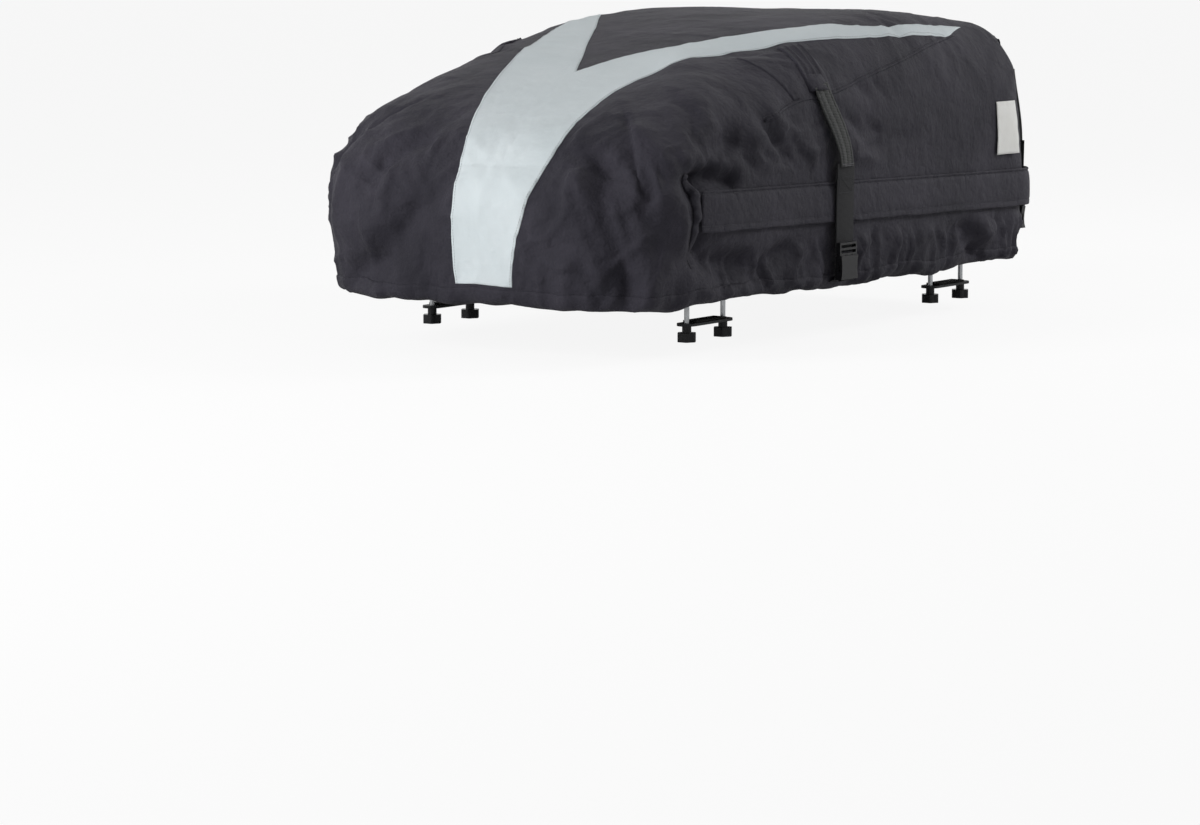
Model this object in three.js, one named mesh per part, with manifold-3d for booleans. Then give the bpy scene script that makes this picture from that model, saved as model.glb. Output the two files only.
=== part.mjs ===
// A soft cargo bag: a filled cloth body with a sloping nose, four buckled straps, a zip under a weather
// flap, a forked stripe, and four screw clamps under its base that hold it down.
// Millimetres. The origin is the middle of the front pad's underside. X points to the bag's left side, Y
// from the nose to the rear, Z up.
import * as THREE from "three";
import { mergeVertices } from "three/addons/utils/BufferGeometryUtils.js";
import Module from "manifold-3d";

const wasm = await Module();
wasm.setup();

// Distance between the two pads, and the depth that a closed clamp takes between its grip and a pad
const PAD_SPACING = 732;
const CLAMP_OPENING = 33;

// Clearance between pieces that touch, and the running clearance of pieces that slide
const SEAT_GAP = 0.3;
const RUNNING_GAP = 0.5;

// Anti-slip pads under the base
const PAD_LENGTH = 380;
const PAD_WIDTH = 60;
const PAD_THICKNESS = 3;

// The filled body, measured at its widest
const BODY_WIDTH = 666;
const BODY_LENGTH = 1207;
const NOSE_OVERHANG = 288;
const NOSE_BOW = 10;
const NOSE_CORNER_RADIUS = 168;
const REAR_CORNER_RADIUS = 109;
const NOSE_SHOULDER_RADIUS = 83;
const SIDE_SHOULDER_RADIUS = 84;
const REAR_SHOULDER_RADIUS = 56;
const BASE_EDGE_RADIUS = 20;
const WIDEST_HEIGHT = 170;
const TUCK_AT_BASE = 7;
const TUCK_AT_TOP = 32;
const ROOF_CROWN = 12;
// How far in from the wall the crown reaches its full height, in side shoulder radii
const CROWN_REACH = 2.4;
// Shares of the length at which the nose's shoulder ends and the rear's begins
const NOSE_SHOULDER_END = 0.3;
const REAR_SHOULDER_START = 0.85;
// Height of the roof over the base, at shares of the length from the nose to the rear
const ROOF_LINE = [
  [0.0, 223],
  [0.1, 265],
  [0.21, 309],
  [0.36, 354],
  [0.52, 391],
  [0.68, 403],
  [0.86, 391],
  [1.0, 366],
];
// How finely the cloth is divided across, along and up
const CLOTH_CELLS = [22, 40, 12];

// Folds and hollows of the cloth: from, to, reach to each side and height, negative for a hollow
const FOLDS = [
  [[196, -286, 190], [236, -274, 40], 24, 8],
  [[262, -250, 230], [288, -232, 30], 22, 10],
  [[252, -190, 255], [302, -205, 170], 22, 8],
  [[150, -293, 130], [190, -290, 50], 20, 6],
  [[222, -256, 215], [275, -238, 150], 20, -8],
  [[316, -188, 110], [290, -225, 15], 24, 10],
  [[-182, -280, 185], [-110, -238, 240], 24, -9],
  [[-150, -293, 45], [-55, -296, 165], 24, -8],
  [[-220, -278, 25], [-165, -291, 55], 22, -12],
  [[-240, -262, 110], [-262, -240, 215], 36, 9],
  [[322, 60, 275], [332, 150, 205], 22, 7],
  [[331, 10, 245], [333, 95, 185], 22, 7],
  [[326, -60, 245], [333, -150, 185], 26, -14],
  [[330, -178, 185], [331, -120, 176], 24, -16],
  [[330, -160, 100], [328, -20, 60], 40, -12],
  [[332, 255, 228], [333, 350, 176], 22, 7],
  [[332, 82, 92], [330, 30, 35], 26, -11],
  [[332, 300, 80], [330, 320, 20], 26, 8],
  [[330, 505, 80], [327, 488, 15], 26, 9],
  [[331, 625, 84], [328, 685, 12], 26, -10],
  [[130, 95, 352], [285, -85, 285], 40, 8],
  [[-326, 60, 270], [-332, 160, 200], 24, 8],
  [[-326, -60, 240], [-333, -140, 190], 26, -12],
  [[-332, 300, 90], [-330, 330, 20], 26, 9],
  [[-331, 560, 84], [-328, 590, 15], 26, -10],
  [[-150, 913, 90], [-130, 910, 20], 26, 8],
  [[60, 913, 300], [130, 905, 210], 28, 7],
  [[-80, 913, 310], [-40, 905, 215], 28, -7],
];

// The grey stripe: one band up the nose, forked over the roof. It is sewn a little off the middle, so both
// sides have their own outer edge. The inner edges mirror each other about the fork.
const STRIPE_THICKNESS = 1.2;
const STRIPE_TURN_HEIGHT = 205;
// On the nose: X and height over the base, from the bottom up
const STRIPE_NOSE_LEFT = [
  [88, 26],
  [102, 100],
  [121, 156],
  [132, 206],
];
const STRIPE_NOSE_RIGHT = [
  [-13, 26],
  [-16, 90],
  [-15, 165],
  [-21, 206],
];
// On the roof: X and Y, from the nose back to the tips
const STRIPE_ROOF_LEFT = [
  [132, -262],
  [139, -191],
  [142, -100],
  [150, 39],
  [192, 156],
  [266, 305],
  [291, 480],
  [296, 650],
];
const STRIPE_ROOF_RIGHT = [
  [-21, -262],
  [-65, -164],
  [-132, -4],
  [-202, 165],
  [-246, 305],
  [-274, 480],
  [-284, 650],
];
const STRIPE_FORK = [2, 11];
const STRIPE_MIRROR_X = 6;
const STRIPE_INNER = [
  [34, 78],
  [82, 142],
  [158, 251],
  [240, 350],
  [272, 490],
];

// The weather flap, its zip and the flap's front ends
const FLAP_TOP_AT_FRONT = 172;
const FLAP_TOP_AT_REAR = 152;
const FLAP_HEIGHT = 62;
const FLAP_FRONT_Y = -150;
const FLAP_THICKNESS = 1.6;
const FLAP_STAND_OFF = 7;
const FLAP_SEAM_HEIGHT = 9;
const ZIP_BELOW_FLAP_TOP = 26;
const ZIP_HEIGHT = 7;
const ZIP_THICKNESS = 1.2;
const SEAM_GAP = 0.5;
// The folds die out this far from the flap, over this distance, and over this distance ahead of its end
const FOLD_FREE_BAND = 26;
const FOLD_FADE = 26;
const FOLD_FADE_AHEAD = 30;
const SLIDER_SIZE = [9, 1.6, 13];
const SLIDER_LUG = [2.6, 1.2, 3];
const SLIDER_APART = 14;
const PULL_SIZE = [7, 0.9, 44];

// Straps: webbing, sleeves over the shoulder, tabs and patches
const WEBBING_WIDTH = 40;
const WEBBING_THICKNESS = 1.6;
const SLEEVE_THICKNESS = 2.4;
const SLEEVE_WIDTH = 44;
const SLEEVE_BOTTOM = 198;
const SLEEVE_SHOULDER = 302;
const SLEEVE_TOP = 350;
const SLEEVE_TOP_INSET = 62;
const SLEEVE_LEAN = 44;
const STRAP_WIDTH = 51;
const STRAP_THICKNESS = 2.6;
const STRAP_BOTTOM = 53;
const STRAP_BEND = 8;
const STRAP_TUCK = 18;
const WEB_ROOT_HEIGHT = 9;
const SIDE_STRAP_Y = 236;
const REAR_STRAP_X = 252;
const REAR_BUCKLE_LIFT = 30;
const PATCH_THICKNESS = 1.1;
const PATCH_BOTTOM = 290;
const PATCH_OUTLINE = [
  [212, 96],
  [262, 99],
  [300, 110],
  [340, 128],
  [340, 226],
  [264, 226],
  [244, 150],
];

// Buckles, in their own frame: across the strap, out from the bag, and up
const BUCKLE_WIDTH = 50;
const BUCKLE_THICKNESS = 11;
const BUCKLE_WALL = 1.8;
const SOCKET_HEIGHT = 37;
const SOCKET_BOTTOM = 14;
const SOCKET_WAIST = 5;
const WINDOW_HEIGHT = 12;
const LADDER_HEIGHT = 20;
const LADDER_THICKNESS = 6;
const BAR_HEIGHT = 3.6;
const PRONG_WIDTH = 8;
const PRONG_LENGTH = 24;
const TONGUE_WIDTH = 9;
const TONGUE_LENGTH = 16.8;

// Blank hanging label on the left side
const LABEL_THICKNESS = 0.8;
const LABEL_LENGTH = 70;
const LABEL_HEIGHT = 88;
const LABEL_FROM_REAR = 120;
const LABEL_BOTTOM = 180;

// Clamps under the pads
const CLAMP_X = 240;
const BOLT_SPACING = 100;
const BOLT_DIAMETER = 8;
const BOLT_FLANGE_DIAMETER = 20;
const BOLT_FLANGE_THICKNESS = 2.6;
const BOLT_END_DEPTH = 57;
const BOLT_CHAMFER = 1;
const PLATE_WIDTH = 30;
const PLATE_THICKNESS = 4;
const GRIP_THICKNESS = 3;
const KNOB_HUB_DIAMETER = 14;
const KNOB_HUB_HEIGHT = 10;
const KNOB_DIAMETER = 30;
const KNOB_HEIGHT = 14;
const KNOB_LOBES = 6;
const KNOB_LOBE_DEPTH = 2;

const BASE_Z = PAD_THICKNESS + SEAT_GAP;
const HALF_WIDTH = BODY_WIDTH / 2;
const HALF_LENGTH = BODY_LENGTH / 2;
const MIDDLE_Y = HALF_LENGTH - NOSE_OVERHANG;
const REAR_Y = BODY_LENGTH - NOSE_OVERHANG;
// How far a cutting region reaches past the body, how far a cut passes a face, and what joined solids share
const PAST = 120;
const CUT = 1;
const SHARED = 0.01;

const CLOTH = { color: 0x2c2b30, roughness: 0.82, metalness: 0 };
const STRIPE_CLOTH = { color: 0xb6c4c6, roughness: 0.7, metalness: 0 };
const WEBBING = { color: 0x18181a, roughness: 0.8, metalness: 0 };
const SLEEVE_WEBBING = { color: 0x3c3f3d, roughness: 0.8, metalness: 0 };
const BUCKLE_PLASTIC = { color: 0x141416, roughness: 0.4, metalness: 0 };
const ZIP_PLASTIC = { color: 0x1a1a1c, roughness: 0.5, metalness: 0 };
const ZINC = { color: 0xa4a6a8, roughness: 0.35, metalness: 1 };
const PAINTED_STEEL = { color: 0x222426, roughness: 0.45, metalness: 0.6 };
const RUBBER = { color: 0x1c1c1c, roughness: 0.9, metalness: 0 };
const LABEL_CLOTH = { color: 0xe6e6e2, roughness: 0.75, metalness: 0 };

// Closed mesh to solid and back
function solidOf(geometry) {
  const bare = geometry.clone();
  bare.deleteAttribute("normal");
  bare.deleteAttribute("uv");
  const merged = mergeVertices(bare, 1e-4);
  return new wasm.Manifold(
    new wasm.Mesh({
      numProp: 3,
      vertProperties: merged.attributes.position.array,
      triVerts: new Uint32Array(merged.index.array),
    }),
  );
}

function geometryOf(solid) {
  const mesh = solid.getMesh();
  const geometry = new THREE.BufferGeometry();
  geometry.setAttribute("position", new THREE.BufferAttribute(mesh.vertProperties, 3));
  geometry.setIndex(new THREE.BufferAttribute(mesh.triVerts, 1));
  const flat = geometry.toNonIndexed();
  flat.computeVertexNormals();
  return flat;
}

function join(solids) {
  return solids.reduce((all, one) => all.add(one));
}

function box(low, high) {
  const size = high.map((value, i) => value - low[i]);
  const geometry = new THREE.BoxGeometry(...size);
  geometry.translate(...low.map((value, i) => value + size[i] / 2));
  return solidOf(geometry);
}

function outline(points) {
  return new THREE.Shape(points.map(([a, b]) => new THREE.Vector2(a, b)));
}

// An outline in X and Y, extruded up from z
function upright(shape, z, height, curveSegments = 8) {
  const options = { depth: height, bevelEnabled: false, curveSegments };
  const geometry = new THREE.ExtrudeGeometry(shape, options);
  geometry.translate(0, 0, z);
  return solidOf(geometry);
}

// An outline in Y and Z, extruded along X from x
function sideways(shape, x, depth, curveSegments = 8) {
  const options = { depth, bevelEnabled: false, curveSegments };
  const geometry = new THREE.ExtrudeGeometry(shape, options);
  geometry.rotateX(Math.PI / 2);
  geometry.rotateZ(Math.PI / 2);
  geometry.translate(x, 0, 0);
  return solidOf(geometry);
}

// An outline in X and Z, extruded along Y from y
function endways(shape, y, depth, curveSegments = 8) {
  const options = { depth, bevelEnabled: false, curveSegments };
  const geometry = new THREE.ExtrudeGeometry(shape, options);
  geometry.rotateX(Math.PI / 2);
  geometry.translate(0, y + depth, 0);
  return solidOf(geometry);
}

function smooth(from, to, value) {
  const t = THREE.MathUtils.clamp((value - from) / (to - from), 0, 1);
  return t * t * (3 - 2 * t);
}

// The filled body
// Height of the roof line at a share of the length, as a curve through its stations
function roofHeight(share) {
  const last = ROOF_LINE.length - 1;
  let i = 0;
  while (i < last - 1 && share > ROOF_LINE[i + 1][0]) i += 1;
  const slope = (k) => {
    const a = ROOF_LINE[Math.max(0, k - 1)];
    const b = ROOF_LINE[Math.min(last, k + 1)];
    return (b[1] - a[1]) / (b[0] - a[0]);
  };
  const [x0, h0] = ROOF_LINE[i];
  const [x1, h1] = ROOF_LINE[i + 1];
  const w = x1 - x0;
  const t = THREE.MathUtils.clamp((share - x0) / w, 0, 1);
  const t2 = t * t;
  const t3 = t2 * t;
  const from = (2 * t3 - 3 * t2 + 1) * h0 + (t3 - 2 * t2 + t) * w * slope(i);
  return from + (3 * t2 - 2 * t3) * h1 + (t3 - t2) * w * slope(i + 1);
}

function shoulderRadius(share) {
  const behindNose = smooth(0, NOSE_SHOULDER_END, share);
  const atRear = smooth(REAR_SHOULDER_START, 1, share);
  const side = THREE.MathUtils.lerp(NOSE_SHOULDER_RADIUS, SIDE_SHOULDER_RADIUS, behindNose);
  return THREE.MathUtils.lerp(side, REAR_SHOULDER_RADIUS, atRear);
}

// Rounds an edge: how far in from the wall and how far short of the roof or the base, both in radii
function rounded(inward, short, radius) {
  const p = 1 - inward / radius;
  const q = 1 - short / radius;
  if (p <= 0 || q <= 0) return [inward, short];
  const scale = Math.max(p, q) / Math.hypot(p, q);
  return [radius * (1 - p * scale), radius * (1 - q * scale)];
}

// A point of a unit cube's surface, taken to the cloth before its folds
function clothPoint(a, b, c) {
  const x0 = a * HALF_WIDTH;
  const y0 = b * HALF_LENGTH;
  const corner = b < 0 ? NOSE_CORNER_RADIUS : REAR_CORNER_RADIUS;
  const overX = Math.abs(x0) - (HALF_WIDTH - corner);
  const overY = Math.abs(y0) - (HALF_LENGTH - corner);
  const fromSide = HALF_WIDTH - Math.abs(x0);
  const fromEnd = HALF_LENGTH - Math.abs(y0);
  const share = (y0 + HALF_LENGTH) / (2 * HALF_LENGTH);
  const roof = roofHeight(share);
  let inward = Math.min(fromSide, fromEnd);
  let z = ((c + 1) / 2) * roof;
  const top = rounded(inward, roof - z, shoulderRadius(share));
  if (top[0] !== inward || top[1] !== roof - z) {
    inward = top[0];
    z = roof - top[1];
  } else {
    const low = rounded(inward, z, BASE_EDGE_RADIUS);
    inward = low[0];
    z = low[1];
  }
  let x = x0;
  let y = y0;
  if (overX > 0 && overY > 0) {
    const reach = (corner - inward) / Math.hypot(overX, overY);
    x = Math.sign(x0) * (HALF_WIDTH - corner + overX * reach);
    y = Math.sign(y0) * (HALF_LENGTH - corner + overY * reach);
  } else if (fromSide <= fromEnd) {
    x = Math.sign(x0) * (HALF_WIDTH - inward);
  } else {
    y = Math.sign(y0) * (HALF_LENGTH - inward);
  }
  const below = THREE.MathUtils.clamp(1 - z / WIDEST_HEIGHT, 0, 1) ** 2 * TUCK_AT_BASE;
  const above = THREE.MathUtils.clamp((z - WIDEST_HEIGHT) / (2 * WIDEST_HEIGHT), 0, 1) ** 2;
  x *= 1 - (below + above * TUCK_AT_TOP * 2) / HALF_WIDTH;
  y *= 1 - (below + above * TUCK_AT_TOP) / HALF_LENGTH;
  const bow = NOSE_BOW * (1 - (x / HALF_WIDTH) ** 2);
  if (y < 0) y -= bow * (-y / HALF_LENGTH) ** 4;
  const inner = THREE.MathUtils.clamp(inward / (CROWN_REACH * SIDE_SHOULDER_RADIUS), 0, 1);
  if (c > 0) z += ROOF_CROWN * inner * (2 - inner) * c;
  return new THREE.Vector3(x, y + MIDDLE_Y, z + BASE_Z);
}

// How much the folds lift the cloth at a point
function foldLift(point) {
  let lift = 0;
  for (const [from, to, reach, height] of FOLDS) {
    const start = new THREE.Vector3(...from);
    const line = new THREE.Vector3(...to).sub(start);
    const along = point.clone().sub(start).dot(line) / line.lengthSq();
    const nearest = start.addScaledVector(line, THREE.MathUtils.clamp(along, 0, 1));
    const away = nearest.distanceTo(point) / reach;
    if (away < 3) lift += height * Math.exp(-away * away);
  }
  return lift;
}

// How much of a fold is left at a point: the cloth behind the flap is held flat by the zip
function foldShare(point) {
  const behindFlap = smooth(FLAP_FRONT_Y - FOLD_FADE_AHEAD, FLAP_FRONT_Y, point.y);
  const middle = (FLAP_TOP_AT_FRONT + FLAP_TOP_AT_REAR) / 2 - FLAP_HEIGHT / 2;
  const still = FLAP_HEIGHT / 2 + FOLD_FREE_BAND;
  const near = 1 - smooth(still, still + FOLD_FADE, Math.abs(point.z - middle));
  return 1 - behindFlap * near;
}

// The cloth as a box whose grid is wrapped to the bag, lifted by its folds. Points below the base are cut.
function clothGeometry() {
  const cube = new THREE.BoxGeometry(2, 2, 2, ...CLOTH_CELLS);
  cube.deleteAttribute("normal");
  cube.deleteAttribute("uv");
  const geometry = mergeVertices(cube, 1e-5);
  const at = geometry.attributes.position;
  for (let i = 0; i < at.count; i += 1) {
    const point = clothPoint(at.getX(i), at.getY(i), at.getZ(i));
    at.setXYZ(i, point.x, point.y, point.z);
  }
  geometry.computeVertexNormals();
  const out = geometry.attributes.normal;
  for (let i = 0; i < at.count; i += 1) {
    const point = new THREE.Vector3().fromBufferAttribute(at, i);
    const lift = foldLift(point) * foldShare(point);
    point.addScaledVector(new THREE.Vector3().fromBufferAttribute(out, i), lift);
    at.setXYZ(i, point.x, point.y, point.z);
  }
  geometry.computeVertexNormals();
  return geometry;
}

const CLOTH_GEOMETRY = clothGeometry();
const UNDER_BASE = box(
  [-HALF_WIDTH - PAST, -NOSE_OVERHANG - PAST, -PAST],
  [HALF_WIDTH + PAST, REAR_Y + PAST, BASE_Z + SHARED],
);

// The body grown outwards by a distance
function grown(distance) {
  const geometry = CLOTH_GEOMETRY.clone();
  const at = geometry.attributes.position;
  const out = CLOTH_GEOMETRY.attributes.normal;
  for (let i = 0; i < at.count; i += 1) {
    at.setXYZ(
      i,
      at.getX(i) + distance * out.getX(i),
      at.getY(i) + distance * out.getY(i),
      at.getZ(i) + distance * out.getZ(i),
    );
  }
  return solidOf(geometry);
}

// A layer of cloth that lies on the body from one distance to another, where the region is
function layer(region, from, thickness) {
  return grown(from + thickness).intersect(region).subtract(grown(from));
}

function filledBody() {
  return solidOf(CLOTH_GEOMETRY).subtract(UNDER_BASE);
}

// The grey stripe
function smoothLine(points, steps) {
  const curve = new THREE.SplineCurve(points.map(([x, y]) => new THREE.Vector2(x, y)));
  return curve.getPoints(steps * (points.length - 1)).map((point) => [point.x, point.y]);
}

function stripe() {
  const turn = BASE_Z + STRIPE_TURN_HEIGHT;
  const nose = [
    ...smoothLine(STRIPE_NOSE_RIGHT, 1),
    ...smoothLine(STRIPE_NOSE_LEFT, 1).reverse(),
  ].map(([x, height]) => [x, Math.min(BASE_Z + height, turn)]);
  const inner = smoothLine([STRIPE_FORK, ...STRIPE_INNER], 2);
  const ahead = -NOSE_OVERHANG - PAST;
  const roof = [
    [STRIPE_ROOF_RIGHT[0][0], ahead],
    [STRIPE_ROOF_LEFT[0][0], ahead],
    ...smoothLine(STRIPE_ROOF_LEFT, 2),
    ...inner.slice(1).reverse(),
    ...inner.map(([x, y]) => [2 * STRIPE_MIRROR_X - x, y]),
    ...smoothLine(STRIPE_ROOF_RIGHT, 2).reverse(),
  ];
  const onNose = endways(outline(nose), ahead, PAST + NOSE_CORNER_RADIUS, 1);
  const onRoof = upright(outline(roof), turn - SHARED, 2 * HALF_WIDTH, 1);
  return layer(onNose.add(onRoof), SEAT_GAP, STRIPE_THICKNESS);
}

// The grid's columns round the left side, the rear and the right side, from the flap's front end
function wallColumns(frontY) {
  const [across, along] = CLOTH_CELLS;
  const columns = [];
  const add = (a, b) => {
    if (clothPoint(a, b, 0).y > frontY) columns.push([a, b]);
  };
  for (let j = 0; j < along; j += 1) add(1, (2 * j) / along - 1);
  for (let i = 0; i < across; i += 1) add(1 - (2 * i) / across, 1);
  for (let j = along; j > 0; j -= 1) add(-1, (2 * j) / along - 1);
  return columns;
}

// Where a column of the smooth cloth crosses a height, as the flat cells have it, pushed out
function wallPoint([a, b], height, out) {
  const rows = CLOTH_CELLS[2];
  let low = clothPoint(a, b, -1);
  for (let k = 1; k <= rows; k += 1) {
    const high = clothPoint(a, b, (2 * k) / rows - 1);
    if (high.z >= height) {
      const point = low.lerp(high, (height - low.z) / (high.z - low.z));
      const level = new THREE.Vector3(point.x, point.y - MIDDLE_Y, 0);
      const corner = b < 0 ? NOSE_CORNER_RADIUS : REAR_CORNER_RADIUS;
      const inX = Math.max(0, Math.abs(level.x) - (HALF_WIDTH - corner)) * Math.sign(level.x);
      const inY = Math.max(0, Math.abs(level.y) - (HALF_LENGTH - corner)) * Math.sign(level.y);
      return point.add(new THREE.Vector3(inX, inY, 0).normalize().multiplyScalar(out));
    }
    low = high;
  }
  return low;
}

function flapTop(y) {
  const share = (y - FLAP_FRONT_Y) / (REAR_Y - FLAP_FRONT_Y);
  return THREE.MathUtils.lerp(FLAP_TOP_AT_FRONT, FLAP_TOP_AT_REAR, share);
}

// A ribbon round the bag, with a section of [distance out, distance under the flap's top] corners
function ribbon(section, frontY) {
  const columns = wallColumns(frontY);
  const count = section.length;
  const vertices = [];
  for (const column of columns) {
    const top = flapTop(clothPoint(...column, 0).y);
    for (const [out, under] of section) {
      vertices.push(...wallPoint(column, top - under, out).toArray());
    }
  }
  const index = [];
  for (let i = 0; i < columns.length - 1; i += 1) {
    for (let k = 0; k < count; k += 1) {
      const next = (k + 1) % count;
      const a = i * count + k;
      const b = i * count + next;
      index.push(a, b, b + count, a, b + count, a + count);
    }
  }
  const last = (columns.length - 1) * count;
  const ends = THREE.ShapeUtils.triangulateShape(outline(section).getPoints(1), []);
  for (const [a, b, c] of ends) {
    index.push(c, b, a);
    index.push(last + a, last + b, last + c);
  }
  const geometry = new THREE.BufferGeometry();
  geometry.setAttribute("position", new THREE.Float32BufferAttribute(vertices, 3));
  geometry.setIndex(index);
  return solidOf(geometry);
}

// The flap: sewn along its top, standing off over the zip below
function flap() {
  const face = FLAP_STAND_OFF + FLAP_THICKNESS;
  const section = [
    [SEAM_GAP, 0],
    [face, 0],
    [face, FLAP_HEIGHT],
    [FLAP_STAND_OFF, FLAP_HEIGHT],
    [FLAP_STAND_OFF, FLAP_SEAM_HEIGHT],
    [SEAM_GAP, FLAP_SEAM_HEIGHT],
  ];
  return ribbon(section, FLAP_FRONT_Y);
}

function zipChain() {
  const top = ZIP_BELOW_FLAP_TOP - ZIP_HEIGHT / 2;
  const out = SEAM_GAP + ZIP_THICKNESS;
  const section = [
    [SEAM_GAP, top],
    [out, top],
    [out, top + ZIP_HEIGHT],
    [SEAM_GAP, top + ZIP_HEIGHT],
  ];
  return ribbon(section, FLAP_FRONT_Y + FLAP_SEAM_HEIGHT);
}

// Zip slider and pull at the middle of the rear, in front of the chain
const ZIP_Z = FLAP_TOP_AT_REAR - ZIP_BELOW_FLAP_TOP;
const ZIP_FACE_Y = wallPoint([0, 1], ZIP_Z, SEAM_GAP + ZIP_THICKNESS).y;

function slider() {
  const [width, depth, height] = SLIDER_SIZE;
  const [lugWidth, lugDepth, lugHeight] = SLIDER_LUG;
  const shape = new THREE.Shape();
  shape.moveTo(-width / 3, -height / 2);
  shape.lineTo(width / 3, -height / 2);
  shape.lineTo(width / 2, height / 4);
  shape.lineTo(width / 4, height / 2);
  shape.lineTo(-width / 4, height / 2);
  shape.lineTo(-width / 2, height / 4);
  const body = endways(shape, SEAT_GAP, depth, 2);
  const front = SEAT_GAP + depth;
  const lug = box(
    [-lugWidth / 2, front - SHARED, -lugHeight / 2],
    [lugWidth / 2, front + lugDepth, lugHeight / 2],
  );
  return body.add(lug);
}

function pull() {
  const [width, depth, length] = PULL_SIZE;
  const [lugWidth, lugDepth, lugHeight] = SLIDER_LUG;
  const back = SEAT_GAP + SLIDER_SIZE[1] + SEAT_GAP;
  const shape = new THREE.Shape();
  const half = width / 2;
  shape.moveTo(-half, -length + half);
  shape.absarc(0, -length + half, half, Math.PI, 0, false);
  shape.lineTo(half, lugHeight);
  shape.lineTo(-half, lugHeight);
  const hole = new THREE.Path();
  const holeHalf = lugWidth / 2 + RUNNING_GAP;
  const holeUp = lugHeight / 2 + RUNNING_GAP;
  hole.moveTo(-holeHalf, -holeUp);
  hole.lineTo(-holeHalf, holeUp);
  hole.lineTo(holeHalf, holeUp);
  hole.lineTo(holeHalf, -holeUp);
  shape.holes.push(hole);
  return endways(shape, back, Math.min(depth, lugDepth), 5);
}

// Straps. Their frame: across the strap, out from the widest line of the wall, and up.
const STRAPS = [
  { name: "left_side", turn: -90, at: [HALF_WIDTH, SIDE_STRAP_Y], lift: 0 },
  { name: "right_side", turn: 90, at: [-HALF_WIDTH, SIDE_STRAP_Y], lift: 0 },
  { name: "left_rear", turn: 0, at: [REAR_STRAP_X, REAR_Y], lift: REAR_BUCKLE_LIFT },
  { name: "right_rear", turn: 0, at: [-REAR_STRAP_X, REAR_Y], lift: REAR_BUCKLE_LIFT },
];
const WEB_OUT = FLAP_STAND_OFF + SEAT_GAP;
const STRAP_OUT = FLAP_STAND_OFF + FLAP_THICKNESS + SEAT_GAP;
const BUCKLE_OUT = STRAP_OUT + STRAP_THICKNESS + SEAT_GAP;
const BUCKLE_MIDDLE = BUCKLE_OUT + LADDER_THICKNESS / 2;

function placed(solid, strap) {
  const [x, y] = strap.at;
  return solid.rotate([0, 0, strap.turn]).translate([x, y, 0]);
}

// A strip of webbing, its side view given as a line of [out, up] points with a thickness
function strip(points, width, thickness) {
  const line = points.map(([v, w]) => new THREE.Vector2(v, w));
  const offset = line.map((point, i) => {
    const before = line[Math.max(0, i - 1)];
    const after = line[Math.min(line.length - 1, i + 1)];
    const along = after.clone().sub(before).normalize();
    return point.clone().add(new THREE.Vector2(along.y, -along.x).multiplyScalar(thickness));
  });
  const shape = new THREE.Shape(line.concat(offset.reverse()));
  return sideways(shape, -width / 2, width, 1);
}

// A side strap's sleeve lies on its roof patch, a rear one on the body
function sleeveFrom(strap) {
  return strap.turn === 0 ? SEAT_GAP : SEAT_GAP + PATCH_THICKNESS + SEAT_GAP;
}

function strapSleeve(strap) {
  const half = SLEEVE_WIDTH / 2;
  if (strap.turn === 0) {
    const shape = outline([
      [strap.at[0] - half, SLEEVE_BOTTOM],
      [strap.at[0] + half, SLEEVE_BOTTOM],
      [strap.at[0] + half, 2 * SLEEVE_BOTTOM + PAST],
      [strap.at[0] - half, 2 * SLEEVE_BOTTOM + PAST],
    ]);
    const region = endways(shape, REAR_Y - SLEEVE_TOP_INSET, PAST);
    return layer(region, sleeveFrom(strap), SLEEVE_THICKNESS);
  }
  const foot = strap.at[1];
  const head = foot - SLEEVE_LEAN;
  const shape = outline([
    [foot - half, SLEEVE_BOTTOM],
    [foot + half, SLEEVE_BOTTOM],
    [head + half, SLEEVE_SHOULDER],
    [head + half, SLEEVE_TOP],
    [head - half, SLEEVE_TOP],
    [head - half, SLEEVE_SHOULDER],
  ]);
  const start = strap.at[0] > 0 ? 0 : -HALF_WIDTH - PAST;
  const region = sideways(shape, start, HALF_WIDTH + PAST);
  return layer(region, sleeveFrom(strap), SLEEVE_THICKNESS);
}

function strapPatch(side) {
  const points = PATCH_OUTLINE.map(([x, y]) => [side * x, y]);
  const region = upright(outline(points), PATCH_BOTTOM, PAST);
  return layer(region, SEAT_GAP, PATCH_THICKNESS);
}

// The wide strap, sewn to the sleeve at its top, in front of the flap and behind the ladder bars
function upperStrap(strap) {
  const points = [
    [STRAP_OUT, STRAP_BOTTOM + strap.lift],
    [STRAP_OUT, SLEEVE_BOTTOM - STRAP_BEND],
    [-STRAP_TUCK, SLEEVE_BOTTOM + 2 * STRAP_TUCK],
  ];
  const over = sleeveFrom(strap) + SLEEVE_THICKNESS + SEAT_GAP;
  return placed(strip(points, STRAP_WIDTH, STRAP_THICKNESS), strap).subtract(grown(over));
}

// The narrow webbing from the base edge of the body up behind the lower half of the buckle
function lowerWebbing(strap) {
  const points = [
    [-BASE_EDGE_RADIUS - PAST / 4, WEB_ROOT_HEIGHT],
    [WEB_OUT, SOCKET_BOTTOM],
    [WEB_OUT, SOCKET_BOTTOM + SOCKET_HEIGHT / 2 + strap.lift],
  ];
  const web = strip(points, WEBBING_WIDTH, -WEBBING_THICKNESS);
  return placed(web, strap).subtract(grown(SEAT_GAP));
}

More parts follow.
